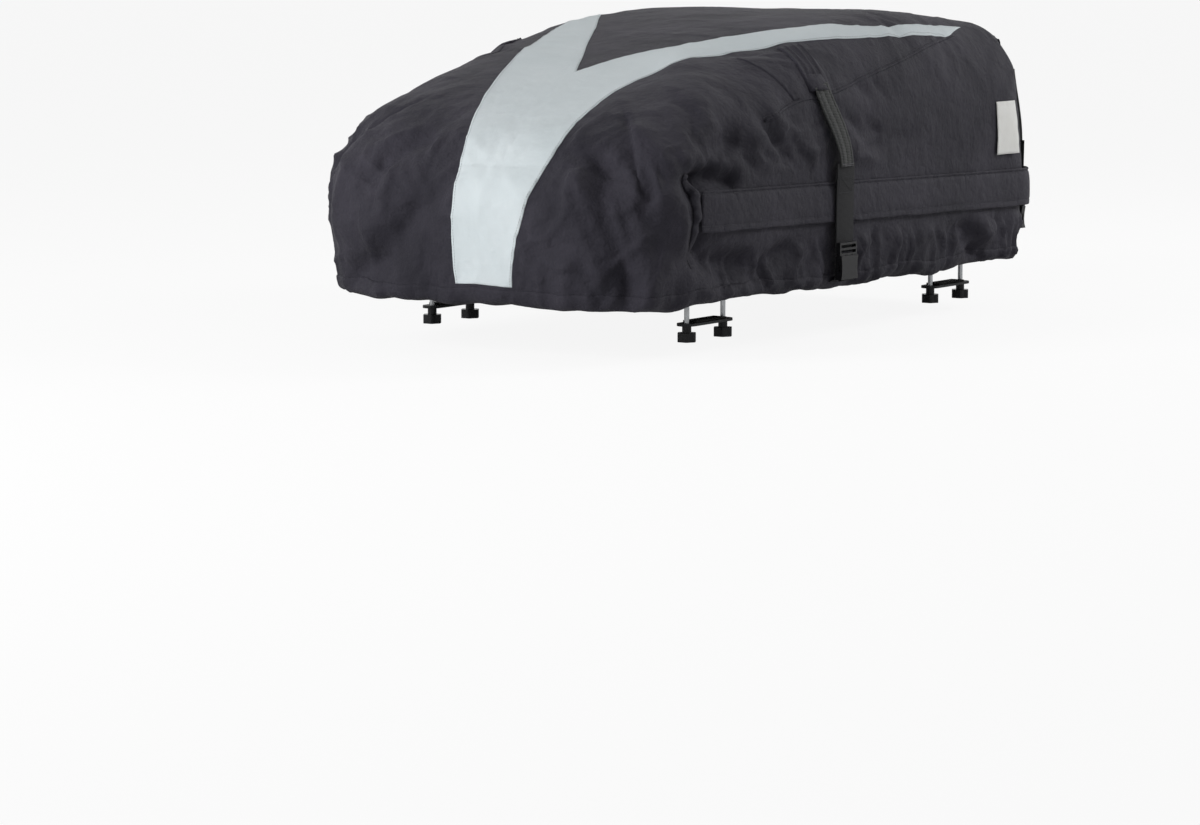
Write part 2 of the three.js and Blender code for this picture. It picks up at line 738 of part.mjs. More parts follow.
// Lower half of a buckle: a socket with a waist, a mouth at its top and a window at each side
function buckleSocket() {
  const half = BUCKLE_WIDTH / 2;
  const top = SOCKET_BOTTOM + SOCKET_HEIGHT;
  const shape = new THREE.Shape();
  shape.moveTo(-half, SOCKET_BOTTOM);
  shape.lineTo(half, SOCKET_BOTTOM);
  shape.quadraticCurveTo(half - SOCKET_WAIST, SOCKET_BOTTOM + SOCKET_HEIGHT / 3, half, top);
  shape.lineTo(-half, top);
  shape.quadraticCurveTo(-half + SOCKET_WAIST, SOCKET_BOTTOM + SOCKET_HEIGHT / 3, -half, SOCKET_BOTTOM);
  const back = BUCKLE_MIDDLE - BUCKLE_THICKNESS / 2;
  const shell = endways(shape, back, BUCKLE_THICKNESS, 4);
  const cavityHalf = half - SOCKET_WAIST / 2 - BUCKLE_WALL;
  const cavityLow = top - PRONG_LENGTH - RUNNING_GAP;
  const depth = BUCKLE_THICKNESS / 2 - BUCKLE_WALL;
  const cavity = box(
    [-cavityHalf, BUCKLE_MIDDLE - depth, cavityLow],
    [cavityHalf, BUCKLE_MIDDLE + depth, top + CUT],
  );
  const window = box(
    [-half - CUT, BUCKLE_MIDDLE - depth / 2, cavityLow],
    [half + CUT, BUCKLE_MIDDLE + depth / 2, cavityLow + WINDOW_HEIGHT],
  );
  return shell.subtract(cavity).subtract(window);
}

// Upper half of a buckle: two ladder bars, a tongue and two prongs
function buckleLadder() {
  const half = BUCKLE_WIDTH / 2;
  const bottom = SOCKET_BOTTOM + SOCKET_HEIGHT + SEAT_GAP;
  const back = BUCKLE_MIDDLE - LADDER_THICKNESS / 2;
  const frame = box([-half, back, bottom], [half, back + LADDER_THICKNESS, bottom + LADDER_HEIGHT]);
  const slotHalf = half - BAR_HEIGHT;
  const slotHeight = (LADDER_HEIGHT - 3 * BAR_HEIGHT) / 2;
  const slots = [0, 1].map((k) => {
    const low = bottom + BAR_HEIGHT + k * (slotHeight + BAR_HEIGHT);
    return box(
      [-slotHalf, back - CUT, low],
      [slotHalf, back + LADDER_THICKNESS + CUT, low + slotHeight],
    );
  });
  const reach = half - SOCKET_WAIST / 2 - BUCKLE_WALL - RUNNING_GAP;
  const thick = BUCKLE_THICKNESS / 2 - BUCKLE_WALL - RUNNING_GAP;
  const finger = (from, to, length) =>
    box(
      [from, BUCKLE_MIDDLE - thick, bottom - length],
      [to, BUCKLE_MIDDLE + thick, bottom + BAR_HEIGHT / 2],
    );
  const fingers = [
    finger(-reach, -reach + PRONG_WIDTH, PRONG_LENGTH),
    finger(reach - PRONG_WIDTH, reach, PRONG_LENGTH),
    finger(-TONGUE_WIDTH / 2, TONGUE_WIDTH / 2, TONGUE_LENGTH),
  ];
  return join([frame, ...fingers]).subtract(join(slots));
}

// Clamps. Their frame: X and Y of the clamp's middle, Z of the part.
function clampPlate() {
  const top = -CLAMP_OPENING - SEAT_GAP - GRIP_THICKNESS - SEAT_GAP;
  const reach = BOLT_SPACING / 2;
  const half = PLATE_WIDTH / 2;
  const shape = new THREE.Shape();
  shape.absarc(0, reach, half, 0, Math.PI, false);
  shape.absarc(0, -reach, half, Math.PI, 2 * Math.PI, false);
  for (const y of [-reach, reach]) {
    const hole = new THREE.Path();
    hole.absarc(0, y, BOLT_DIAMETER / 2 + RUNNING_GAP, 0, 2 * Math.PI, true);
    shape.holes.push(hole);
  }
  return upright(shape, top - PLATE_THICKNESS, PLATE_THICKNESS, 6);
}

function clampGrip() {
  const top = -CLAMP_OPENING - SEAT_GAP;
  const reach = BOLT_SPACING / 2 - BOLT_DIAMETER;
  const half = PLATE_WIDTH / 2 - GRIP_THICKNESS;
  return box([-half, -reach, top - GRIP_THICKNESS], [half, reach, top]);
}

// Turned shape from [radius, height] points, from the axis and back to it
function turned(points, sides) {
  const geometry = new THREE.LatheGeometry(points.map(([r, z]) => new THREE.Vector2(r, z)), sides);
  geometry.rotateX(Math.PI / 2);
  return solidOf(geometry);
}

// The turned profile of a cylinder
function cylinder(radius, low, high) {
  return [
    [0, low],
    [radius, low],
    [radius, high],
    [0, high],
  ];
}

function bolt() {
  const shank = BOLT_DIAMETER / 2;
  const flange = BOLT_FLANGE_DIAMETER / 2;
  const top = BASE_Z - SEAT_GAP;
  return turned(
    [
      [0, -BOLT_END_DEPTH],
      [shank - BOLT_CHAMFER, -BOLT_END_DEPTH],
      [shank, -BOLT_END_DEPTH + BOLT_CHAMFER],
      [shank, top - BOLT_FLANGE_THICKNESS],
      [flange, top - BOLT_FLANGE_THICKNESS],
      [flange, top],
      [0, top],
    ],
    16,
  );
}

function knob() {
  const top = -CLAMP_OPENING - 3 * SEAT_GAP - GRIP_THICKNESS - PLATE_THICKNESS;
  const head = top - KNOB_HUB_HEIGHT;
  const radius = KNOB_DIAMETER / 2;
  const shape = new THREE.Shape();
  const steps = KNOB_LOBES * 6;
  for (let i = 0; i < steps; i += 1) {
    const angle = (2 * Math.PI * i) / steps;
    const r = radius - KNOB_LOBE_DEPTH * (0.5 - 0.5 * Math.cos(KNOB_LOBES * angle));
    if (i === 0) shape.moveTo(r, 0);
    else shape.lineTo(r * Math.cos(angle), r * Math.sin(angle));
  }
  const disc = upright(shape, head - KNOB_HEIGHT, KNOB_HEIGHT);
  const hub = turned(cylinder(KNOB_HUB_DIAMETER / 2, head - CUT, top), 20);
  const bore = BOLT_DIAMETER / 2 + SEAT_GAP;
  const thread = turned(cylinder(bore, -BOLT_END_DEPTH - SEAT_GAP, top + CUT), 16);
  return disc.add(hub).subtract(thread);
}

function label() {
  const rear = REAR_Y - LABEL_FROM_REAR;
  const shape = outline([
    [rear - LABEL_LENGTH, LABEL_BOTTOM],
    [rear, LABEL_BOTTOM],
    [rear, LABEL_BOTTOM + LABEL_HEIGHT],
    [rear - LABEL_LENGTH, LABEL_BOTTOM + LABEL_HEIGHT],
  ]);
  return layer(sideways(shape, 0, HALF_WIDTH + PAST), SEAT_GAP, LABEL_THICKNESS);
}

function pad(y) {
  return box(
    [-PAD_LENGTH / 2, y - PAD_WIDTH / 2, 0],
    [PAD_LENGTH / 2, y + PAD_WIDTH / 2, PAD_THICKNESS],
  );
}

const bag = new THREE.Group();

function put(name, solid, finish, group = bag) {
  const mesh = new THREE.Mesh(geometryOf(solid), new THREE.MeshStandardMaterial(finish));
  mesh.name = name;
  group.add(mesh);
}

put("bag_body", filledBody(), CLOTH);
put("stripe", stripe(), STRIPE_CLOTH);
put("weather_flap", flap(), CLOTH);
put("zip_chain", zipChain(), ZIP_PLASTIC);
put("left_roof_patch", strapPatch(1), CLOTH);
put("right_roof_patch", strapPatch(-1), CLOTH);
put("blank_label", label(), LABEL_CLOTH);
put("front_bar_pad", pad(0), RUBBER);
put("rear_bar_pad", pad(PAD_SPACING), RUBBER);

const SIDES = [
  ["left", 1],
  ["right", -1],
];
for (const [name, side] of SIDES) {
  const group = new THREE.Group();
  group.position.set((side * SLIDER_APART) / 2, ZIP_FACE_Y, ZIP_Z);
  put(name + "_zip_slider", slider(), ZINC, group);
  put(name + "_zip_pull", pull(), ZINC, group);
  bag.add(group);
}

for (const strap of STRAPS) {
  put(strap.name + "_strap_sleeve", strapSleeve(strap), SLEEVE_WEBBING);
  put(strap.name + "_strap", upperStrap(strap), WEBBING);
  put(strap.name + "_lower_webbing", lowerWebbing(strap), WEBBING);
  const group = new THREE.Group();
  group.position.set(...strap.at, strap.lift);
  group.rotation.z = THREE.MathUtils.degToRad(strap.turn);
  put(strap.name + "_buckle_ladder", buckleLadder(), BUCKLE_PLASTIC, group);
  put(strap.name + "_buckle_socket", buckleSocket(), BUCKLE_PLASTIC, group);
  bag.add(group);
}

const ENDS = [
  ["front", 0],
  ["rear", PAD_SPACING],
];
for (const [end, y] of ENDS) {
  for (const [side, sign] of SIDES) {
    const name = end + "_" + side;
    const clamp = new THREE.Group();
    clamp.position.set(sign * CLAMP_X, y, 0);
    put(name + "_clamp_plate", clampPlate(), PAINTED_STEEL, clamp);
    put(name + "_clamp_grip", clampGrip(), RUBBER, clamp);
    for (const which of ["a", "b"]) {
      const post = new THREE.Group();
      post.position.y = which === "a" ? -BOLT_SPACING / 2 : BOLT_SPACING / 2;
      put(name + "_bolt_" + which, bolt(), ZINC, post);
      put(name + "_knob_" + which, knob(), BUCKLE_PLASTIC, post);
      clamp.add(post);
    }
    bag.add(clamp);
  }
}

export default bag;
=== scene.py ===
"""The looks of a soft roof cargo bag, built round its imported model.

Shapes are worked out in millimetres in the part's own frame and become metres when a mesh is made.
X points to the bag's left, Y from its nose to its rear, Z up.
"""

import itertools
import math

import bpy
import numpy as np
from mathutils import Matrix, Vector
from mathutils.bvhtree import BVHTree
from mathutils.geometry import barycentric_transform


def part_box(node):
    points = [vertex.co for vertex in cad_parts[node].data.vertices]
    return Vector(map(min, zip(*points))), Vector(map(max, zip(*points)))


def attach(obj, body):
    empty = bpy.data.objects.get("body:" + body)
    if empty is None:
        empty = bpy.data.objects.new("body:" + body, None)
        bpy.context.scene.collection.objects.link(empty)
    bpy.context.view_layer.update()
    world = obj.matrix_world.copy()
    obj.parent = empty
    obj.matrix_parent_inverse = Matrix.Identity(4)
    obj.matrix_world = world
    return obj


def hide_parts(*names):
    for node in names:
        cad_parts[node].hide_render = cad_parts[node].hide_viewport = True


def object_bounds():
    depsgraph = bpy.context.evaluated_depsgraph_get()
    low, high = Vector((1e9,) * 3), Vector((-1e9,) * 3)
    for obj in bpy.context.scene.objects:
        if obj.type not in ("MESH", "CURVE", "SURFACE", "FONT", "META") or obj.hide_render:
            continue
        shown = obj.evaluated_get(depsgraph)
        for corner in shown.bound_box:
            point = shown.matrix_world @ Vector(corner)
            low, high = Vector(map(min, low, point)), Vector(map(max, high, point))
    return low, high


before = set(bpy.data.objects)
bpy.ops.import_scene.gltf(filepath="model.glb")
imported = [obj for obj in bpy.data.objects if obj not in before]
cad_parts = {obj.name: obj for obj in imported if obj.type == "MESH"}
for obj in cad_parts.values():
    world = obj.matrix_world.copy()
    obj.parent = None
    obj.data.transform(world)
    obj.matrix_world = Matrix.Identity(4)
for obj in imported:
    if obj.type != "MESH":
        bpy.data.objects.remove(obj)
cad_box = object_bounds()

MM = 0.001

# Camera and room, in metres and degrees
CAMERA_PLACE = (3.516, -5.016, 0.5855)
CAMERA_DOWN = 7.26
CAMERA_TURN = 34.67
CAMERA_LENS = 119.1
CLAMP_TRAVEL = 0.018
FLOOR_Z = cad_box[0].z - CLAMP_TRAVEL - 0.0005
WORLD_LIGHT = 0.22

# Lamps: name, place, target, size and power
LAMPS = [
    ("overhead", (0.4, 0.8, 3.2), (0, 0.3, 0.2), 3.0, 2),
    ("front_left", (-1.4, -3.6, 1.5), (0, 0, 0.2), 1.8, 150),
    ("side", (2.3, 2.4, 1.9), (0.25, 0.7, 0.25), 1.2, 60),
]

# The filled body, in millimetres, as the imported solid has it
HALF_WIDTH = 333.0
HALF_LENGTH = 603.5
MIDDLE_Y = 315.5
REAR_Y = 919.0
NOSE_Y = -288.0
BASE_Z = 3.3
NOSE_BOW = 10.0
NOSE_CORNER = 168.0
REAR_CORNER = 109.0
NOSE_SHOULDER = 83.0
SIDE_SHOULDER = 84.0
REAR_SHOULDER = 56.0
NOSE_SHOULDER_ENDS = 0.3
REAR_SHOULDER_STARTS = 0.85
BASE_EDGE = 20.0
WIDEST_HEIGHT = 170.0
TUCK_AT_BASE = 7.0
TUCK_AT_TOP = 32.0
ROOF_CROWN = 12.0
CROWN_REACH = 2.4
ROOF_SHARES = np.array([0.0, 0.1, 0.21, 0.36, 0.52, 0.68, 0.86, 1.0])
ROOF_HEIGHTS = np.array([223.0, 265.0, 309.0, 354.0, 391.0, 403.0, 391.0, 366.0])

# The cloth over it: its lattice, its settling, and how its lower edge hangs between the pads
SETTLE_CELLS = (56, 100, 32)
SETTLE_STEPS = 20
CUT_LARGER = 1.06
MOST_MOVE = 15.0
BROAD_PASSES = 60
PAD_PLACES = (0.0, 732.0)
PAD_CLEAR = 46.0
HEM_DROP = 8.5
HEM_HEIGHTS = (8, 46)
HEM_DEPTHS = (20, 110)

# Where the small creases change, as (from, to): heights, and places along the bag
ON_ROOF_HEIGHTS = (235, 330)
NOSE_ENDS = (-210, -60)
UNDER_FLAP_ENDS = (70, 100)
CALM_WALL_STARTS = (280, 400)
CALM_WALL_HEIGHTS = (165, 195)
HEM_CREASE_HEIGHTS = (26, 58)
REAR_STARTS = (800, 870)

# Big folds and hollows: from, to, reach and height, negative for a hollow
BIG_FOLDS = [
    ((196, -286, 190), (236, -274, 40), 24, 8),
    ((262, -250, 230), (288, -232, 30), 22, 10),
    ((252, -190, 255), (302, -205, 170), 22, 8),
    ((150, -293, 130), (190, -290, 50), 20, 6),
    ((222, -256, 215), (275, -238, 150), 20, -8),
    ((316, -188, 110), (290, -225, 15), 24, 10),
    ((-182, -280, 185), (-110, -238, 240), 24, -9),
    ((-150, -293, 45), (-55, -296, 165), 24, -8),
    ((-220, -278, 25), (-165, -291, 55), 22, -12),
    ((-240, -262, 110), (-262, -240, 215), 36, 9),
    ((322, 60, 275), (332, 150, 205), 22, 7),
    ((331, 10, 245), (333, 95, 185), 22, 7),
    ((326, -60, 245), (333, -150, 185), 26, -14),
    ((330, -178, 185), (331, -120, 176), 24, -16),
    ((330, -160, 100), (328, -20, 60), 40, -12),
    ((332, 255, 228), (333, 350, 176), 22, 7),
    ((332, 82, 92), (330, 30, 35), 26, -11),
    ((332, 300, 80), (330, 320, 20), 26, 8),
    ((330, 505, 80), (327, 488, 15), 26, 9),
    ((331, 625, 84), (328, 685, 12), 26, -10),
    ((130, 95, 352), (285, -85, 285), 40, 8),
    ((-326, 60, 270), (-332, 160, 200), 24, 8),
    ((-326, -60, 240), (-333, -140, 190), 26, -12),
    ((-332, 300, 90), (-330, 330, 20), 26, 9),
    ((-331, 560, 84), (-328, 590, 15), 26, -10),
    ((-150, 913, 90), (-130, 910, 20), 26, 8),
    ((60, 913, 300), (130, 905, 210), 28, 7),
    ((-80, 913, 310), (-40, 905, 215), 28, -7),
]

# Sharp creases of slack cloth, given in the same way
CREASES = [
    ((324, -83, 206), (319, -49, 237), 10, -8),
    ((331, -32, 217), (333, -4, 192), 10, -6),
    ((330, 24, 261), (334, 53, 233), 11, -7),
    ((333, 43, 244), (334, 79, 198), 12, -9),
    ((331, 73, 275), (332, 115, 257), 10, -6),
    ((333, 16, 222), (334, 58, 199), 9, -5),
    ((332, 62, 232), (334, 108, 189), 10, -7),
    ((332, 88, 245), (333, 152, 189), 12, -7),
    ((329, 262, 262), (331, 299, 246), 9, -5),
    ((331, 266, 233), (331, 352, 240), 10, -5),
    ((333, 281, 207), (331, 460, 228), 14, -5),
    ((329, 318, 256), (331, 357, 239), 9, -5),
    ((321, 303, 314), (325, 339, 295), 9, -5),
    ((322, 357, 316), (325, 385, 290), 8, -4),
    ((323, 92, 85), (318, 45, 39), 13, -9),
    ((331, 152, 90), (327, 141, 22), 11, -8),
    ((331, 354, 82), (335, 309, 30), 12, -7),
    ((331, 420, 84), (331, 395, 25), 12, 6),
    ((338, 503, 57), (329, 468, 13), 12, -7),
    ((326, 607, 70), (321, 575, 10), 12, -7),
    ((331, 740, 88), (326, 720, 14), 12, -7),
    ((234, -267, 179), (277, -248, 21), 12, -6),
    ((193, -289, 185), (241, -278, 71), 9, -6),
    ((204, -293, 170), (237, -279, 40), 12, 5),
    ((248, -267, 163), (285, -247, 48), 10, 6),
    ((262, -206, 244), (309, -213, 185), 10, -6),
    ((183, -246, 235), (264, -248, 188), 8, -8),
    ((206, -295, 158), (229, -285, 70), 9, -5),
    ((145, -301, 135), (176, -299, 83), 10, -5),
    ((268, -259, 141), (283, -249, 70), 9, -6),
    ((177, -295, 50), (219, -287, 57), 9, -5),
    ((218, -287, 55), (233, -271, 15), 8, -7),
    ((276, -250, 46), (278, -247, 18), 8, -7),
    ((-119, -226, 248), (-192, -276, 180), 8, -7),
    ((-77, -290, 146), (-176, -277, 51), 12, -7),
    ((-221, -270, 39), (-178, -279, 58), 10, -10),
    ((-326, 30, 250), (-333, 90, 200), 11, -8),
    ((-331, 100, 262), (-333, 150, 195), 11, -7),
    ((-330, 290, 255), (-331, 400, 225), 12, -6),
    ((-331, 120, 88), (-326, 100, 20), 12, -8),
    ((-331, 420, 84), (-329, 440, 20), 12, -7),
    ((-328, 700, 84), (-326, 680, 15), 12, -7),
    ((-60, 916, 88), (-40, 913, 20), 12, -7),
    ((90, 916, 90), (110, 913, 20), 12, -7),
    ((-150, 905, 330), (-60, 914, 220), 12, -6),
    ((160, 905, 320), (60, 914, 230), 12, -6),
]

# Hollows and swellings at the flap's front ends and the rear corners, for the left side
SHAPED = [
    ((322, -146, 184), (330, -66, 181), 15, -20),
    ((320, -172, 214), (331, -64, 214), 17, 9),
    ((316, -184, 196), (320, -178, 92), 16, 10),
    ((326, -146, 188), (328, -142, 88), 11, -10),
    ((326, -136, 84), (328, -50, 40), 34, -15),
    ((303, -205, 235), (314, -196, 120), 40, 6),
    ((301, 887, 200), (296, 880, 335), 55, -20),
    ((301, 887, 95), (298, 880, 15), 55, -17),
    ((285, 868, 378), (296, 885, 345), 45, -8),
    ((330, 690, 88), (327, 740, 25), 34, 9),
]

# The hollow of the nose's right shoulder, and the roll along the roof's rear edge
ONE_SIDED = [
    ((-303, -216, 264), (-300, -196, 230), 36, -12),
    ((90, 850, 378), (285, 850, 370), 24, 6),
]

# The weather flap. Its section has (down from the sewn edge, out from the wall) points
FLAP_TOP_FRONT = 172.0
FLAP_TOP_REAR = 152.0
FLAP_HEIGHT = 62.0
FLAP_FRONT_Y = -150.0
FLAP_FACE = 8.4
FLAP_STEP = 6.0
FLAP_OUTER = [(0.0, 1.9), (1.0, 3.2), (2.8, 3.4), (4.2, 2.0), (5.4, 2.2), (7.4, 3.8), (14.0, 5.4)]
FLAP_OUTER += [(24.0, 6.7), (38.0, 7.7), (50.0, 8.3), (52.0, 7.5), (54.0, 8.2), (59.0, 8.4), (61.5, 8.1)]
FLAP_INNER = [(61.8, 7.1), (54.0, 7.1), (38.0, 6.7), (24.0, 5.3), (12.0, 3.6), (6.0, 1.8), (2.0, 0.7)]
FLAP_SEAMS = [(4.8, 2.4), (52.0, 7.7)]
FLAP_SEWN_FACE = 1.7
FLAP_SEWN_BACK = 0.5
FLAP_HOLD = 6
FLAP_FREE = 40
FREE_BEFORE_FLAP = 30

# The straps and their sleeves
SIDE_STRAP_Y = 236.0
REAR_STRAP_X = 252.0
REAR_LIFT = 30.0
PRESS_REACH = (26, 62)
STRAP_WIDTH = 51.0
STRAP_THICK = 2.3
STRAP_OUT = 8.9
LADDER_OUT = 11.8
LADDER_THICK = 6.0
LADDER_HEIGHT = 20.0
LADDER_BAR = 3.6
WEB_WIDTH = 40.0
SLEEVE_FOOT = 188.0
SLEEVE_HOLD = 24
SLEEVE_LEAN = 46
SLEEVE_LEAN_HEIGHTS = (198, 302)
SLEEVE_ROWS = 22
CHANNEL_FOOT = 304.0
CHANNEL_MOUTH = 314.0

# Patches, seams, label and the flap's gathered front ends
PATCH_OUTLINE = [(212, 96), (262, 99), (300, 110), (345, 130), (345, 226), (264, 226), (244, 150)]
PATCH_OUTLINE = np.array(PATCH_OUTLINE, float)
PATCH_FOOT = 293.0
EDGE_THINNER = 0.35
BINDING_LOW = 3.0
BINDING_HIGH = 22.0
SIDE_SEAM = [(325, 33, 266), (322, 129, 291), (323, 238, 302), (318, 340, 322), (313, 458, 344)]
SIDE_SEAM += [(303, 560, 364), (289, 666, 379)]
SEAM_SECTION = [(-2.5, 0.05), (-1.5, 0.825), (0, 1.1), (1.5, 0.825), (2.5, 0.05)]
GATHERED_PATH = [(322, -164, 190), (325, -160, 165), (327, -157, 130), (328, -154, 95), (328, -150, 70)]
GATHERED_SECTION = [(-15, 0.1), (-11, 0.42), (-6, 0.85), (-1, 1.0), (4, 0.9), (8, 0.62), (10, 0.3)]
GATHERED_SECTION += [(9.4, 0.1)]
LABEL_CELLS = (14, 18)

# Stitches: pitch, length and, where it isn't the usual one, width
STRIPE_STITCH = (4.4, 3.2, 0.6)
FLAP_STITCH = (4.2, 3.1)
BOX_STITCH = (3.4, 2.6)
BOX_STITCH_LINE = [(-19, 148), (19, 148), (19, 172), (-19, 172), (-19, 148), (19, 172)]
SLEEVE_STITCH = (3.8, 2.8)
TACK_STITCH = (2.4, 2.2, 0.9)
SEAM_STITCH = (4.2, 3.0)
CHANNEL_ROWS = [(-14.0, 2.2), (-6.8, 3.0), (6.8, 3.0), (14.0, 2.2)]
HUNG_ROWS = (-14.8, -10.0, 10.0, 14.8)

# The stripe's edges as (way, x): the way runs up the nose and back along the roof, depth and height added
STRIPE_BOTTOM = 22.0
STRIPE_LEFT = [(0, 86), (54, 95), (122, 114), (167, 126), (228, 137), (293, 143), (376, 142), (476, 139)]
STRIPE_LEFT += [(570, 145), (640, 163), (705, 187), (779, 207), (874, 245), (951, 269), (1030, 282)]
STRIPE_LEFT += [(1129, 288), (1250, 291), (1430, 293)]
STRIPE_RIGHT = [(0, -12), (78, -15), (166, -14), (223, -20), (300, -35), (395, -63), (557, -113)]
STRIPE_RIGHT += [(695, -157), (804, -190), (895, -215), (1010, -240), (1129, -264), (1250, -281)]
STRIPE_RIGHT += [(1430, -290)]
STRIPE_LEFT_FORK = [(560, -20), (614, 5), (702, 33), (788, 78), (845, 111), (912, 158), (990, 214)]
STRIPE_LEFT_FORK += [(1060, 250), (1142, 266), (1270, 270), (1430, 268)]
STRIPE_RIGHT_FORK = [(560, 30), (614, 5), (709, -36), (838, -96), (940, -142), (1008, -178), (1100, -225)]
STRIPE_RIGHT_FORK += [(1200, -253), (1300, -262), (1430, -264)]
STRIPE_MIDDLE = 6.0
STRIPE_TIP = 1309.0
STRIPE_TIP_X = 291.0
STRIPE_TIP_LEAN = 4.0
STRIPE_BROAD_ENDS = (560, 760)
STRIPE_CALM_EDGE = (-10, 20)


def both_ways(half, middle=()):
    """A section given for its left half, with the same mirrored after its middle."""
    return [*half, *middle, *((-across, height) for across, height in reversed(half))]


# The sleeve's sewn channel and its hanging end, as (across, height) points
CHANNEL = both_ways([(-22.5, 0.3), (-22.6, 2.2), (-21.0, 3.8), (-19.0, 3.9), (-17.4, 2.4), (-10.0, 2.0),
                     (-8.0, 3.0), (-5.5, 3.0), (-3.5, 2.0)])
HUNG_SLEEVE = both_ways([(-18, 0.2), (-18, 2.0), (-16, 2.8), (-13.6, 2.6), (-12.5, 1.3), (-11.4, 2.4),
                         (-8, 2.7), (-1.1, 2.4)], [(0, 1.3)])


def smooth(low, high, value):
    """0 up to the low value, 1 from the high one, and an even rise between them."""
    t = np.clip((value - low) / (high - low), 0, 1)
    return t * t * (3 - 2 * t)


def units(rows):
    """Each row scaled to length one."""
    return rows / np.maximum(np.linalg.norm(rows, axis=1), 1e-9)[:, None]


def hermite(x, y, slope, count):
    """A smooth curve through points with the slopes given, as (places, values)."""
    at = np.linspace(x[0], x[-1], count)
    i = np.clip(np.searchsorted(x, at) - 1, 0, len(x) - 2)
    w = x[i + 1] - x[i]
    t = (at - x[i]) / w
    rise = (2 * t**3 - 3 * t**2 + 1) * y[i] + (t**3 - 2 * t**2 + t) * w * slope[i]
    return at, rise + (3 * t**2 - 2 * t**3) * y[i + 1] + (t**3 - t**2) * w * slope[i + 1]


def spline(points, count=160):
    """A curve through points whose first number rises, as (rising numbers, values)."""
    x, y = np.array(points, float).T
    return hermite(x, y, np.gradient(y, x), count)


def noise(points, size, seed):
    """Smooth noise from about -1 to 1, in lumps of about the size given, one or three numbers."""
    rng = np.random.default_rng(seed)
    table = rng.permutation(256)
    slopes = units(rng.normal(size=(256, 3)))
    p = points / np.array(size)
    cell = np.floor(p).astype(int)
    part = p - cell
    weight = part**3 * (part * (part * 6 - 15) + 10)
    total = np.zeros(len(points))
    for corner in itertools.product((0, 1), repeat=3):
        at = (cell + corner) & 255
        pick = table[(table[(table[at[:, 0]] + at[:, 1]) & 255] + at[:, 2]) & 255]
        share = np.where(corner, weight, 1 - weight).prod(1)
        total += share * ((part - corner) * slopes[pick]).sum(1)
    return 1.6 * total


# The bag's form

def roof_curve():
    """The roof's height along the bag, as (shares of the length, heights)."""
    x, h = ROOF_SHARES, ROOF_HEIGHTS
    slope = np.empty(len(x))
    slope[1:-1] = (h[2:] - h[:-2]) / (x[2:] - x[:-2])
    slope[0] = (h[1] - h[0]) / (x[1] - x[0])
    slope[-1] = (h[-1] - h[-2]) / (x[-1] - x[-2])
    return hermite(x, h, slope, 400)


ROOF_CURVE = roof_curve()


def rounded(inward, short, radius):
    """Rounds an edge: how far in from the wall and how far short of the roof or base."""
    p = 1 - inward / radius
    q = 1 - short / radius
    near = (p > 0) & (q > 0)
    scale = np.maximum(p, q) / np.maximum(np.hypot(p, q), 1e-9)
    return near, radius * (1 - p * scale), radius * (1 - q * scale)


def bag_form(a, b, c):
    """Points of a unit cube's surface, taken to the bag's smooth form.

    Gives the points, and how far in from the wall each lies.
    """
    x0 = a * HALF_WIDTH
    y0 = b * HALF_LENGTH
    corner = np.where(b < 0, NOSE_CORNER, REAR_CORNER)
    over_x = np.abs(x0) - (HALF_WIDTH - corner)
    over_y = np.abs(y0) - (HALF_LENGTH - corner)
    from_side = HALF_WIDTH - np.abs(x0)
    from_end = HALF_LENGTH - np.abs(y0)
    share = (b + 1) / 2
    roof = np.interp(share, *ROOF_CURVE)
    inward = np.minimum(from_side, from_end)
    z = (c + 1) / 2 * roof
    side = NOSE_SHOULDER + (SIDE_SHOULDER - NOSE_SHOULDER) * smooth(0, NOSE_SHOULDER_ENDS, share)
    shoulder = side + (REAR_SHOULDER - side) * smooth(REAR_SHOULDER_STARTS, 1, share)
    at_top, top_in, top_short = rounded(inward, roof - z, shoulder)
    at_low, low_in, low_up = rounded(inward, z, BASE_EDGE)
    at_low &= ~at_top
    inward = np.where(at_top, top_in, np.where(at_low, low_in, inward))
    z = np.where(at_top, roof - top_short, np.where(at_low, low_up, z))
    at_corner = (over_x > 0) & (over_y > 0)
    reach = (corner - inward) / np.maximum(np.hypot(over_x, over_y), 1e-9)
    on_side = ~at_corner & (from_side <= from_end)
    on_end = ~at_corner & ~on_side
    x_corner = np.sign(x0) * (HALF_WIDTH - corner + over_x * reach)
    y_corner = np.sign(y0) * (HALF_LENGTH - corner + over_y * reach)
    x = np.where(at_corner, x_corner, np.where(on_side, np.sign(x0) * (HALF_WIDTH - inward), x0))
    y = np.where(at_corner, y_corner, np.where(on_end, np.sign(y0) * (HALF_LENGTH - inward), y0))
    below = np.clip(1 - z / WIDEST_HEIGHT, 0, 1) ** 2 * TUCK_AT_BASE
    above = np.clip((z - WIDEST_HEIGHT) / (2 * WIDEST_HEIGHT), 0, 1) ** 2
    x = x * (1 - (below + above * TUCK_AT_TOP * 2) / HALF_WIDTH)
    y = y * (1 - (below + above * TUCK_AT_TOP) / HALF_LENGTH)
    bow = NOSE_BOW * (1 - (x / HALF_WIDTH) ** 2)
    y = y - np.where(y < 0, bow * np.clip(-y / HALF_LENGTH, 0, 2) ** 4, 0)
    inner = np.clip(inward / (CROWN_REACH * SIDE_SHOULDER), 0, 1)
    z = z + np.where(c > 0, ROOF_CROWN * inner * (2 - inner) * c, 0)
    return np.stack([x, y + MIDDLE_Y, z + BASE_Z], 1), inward


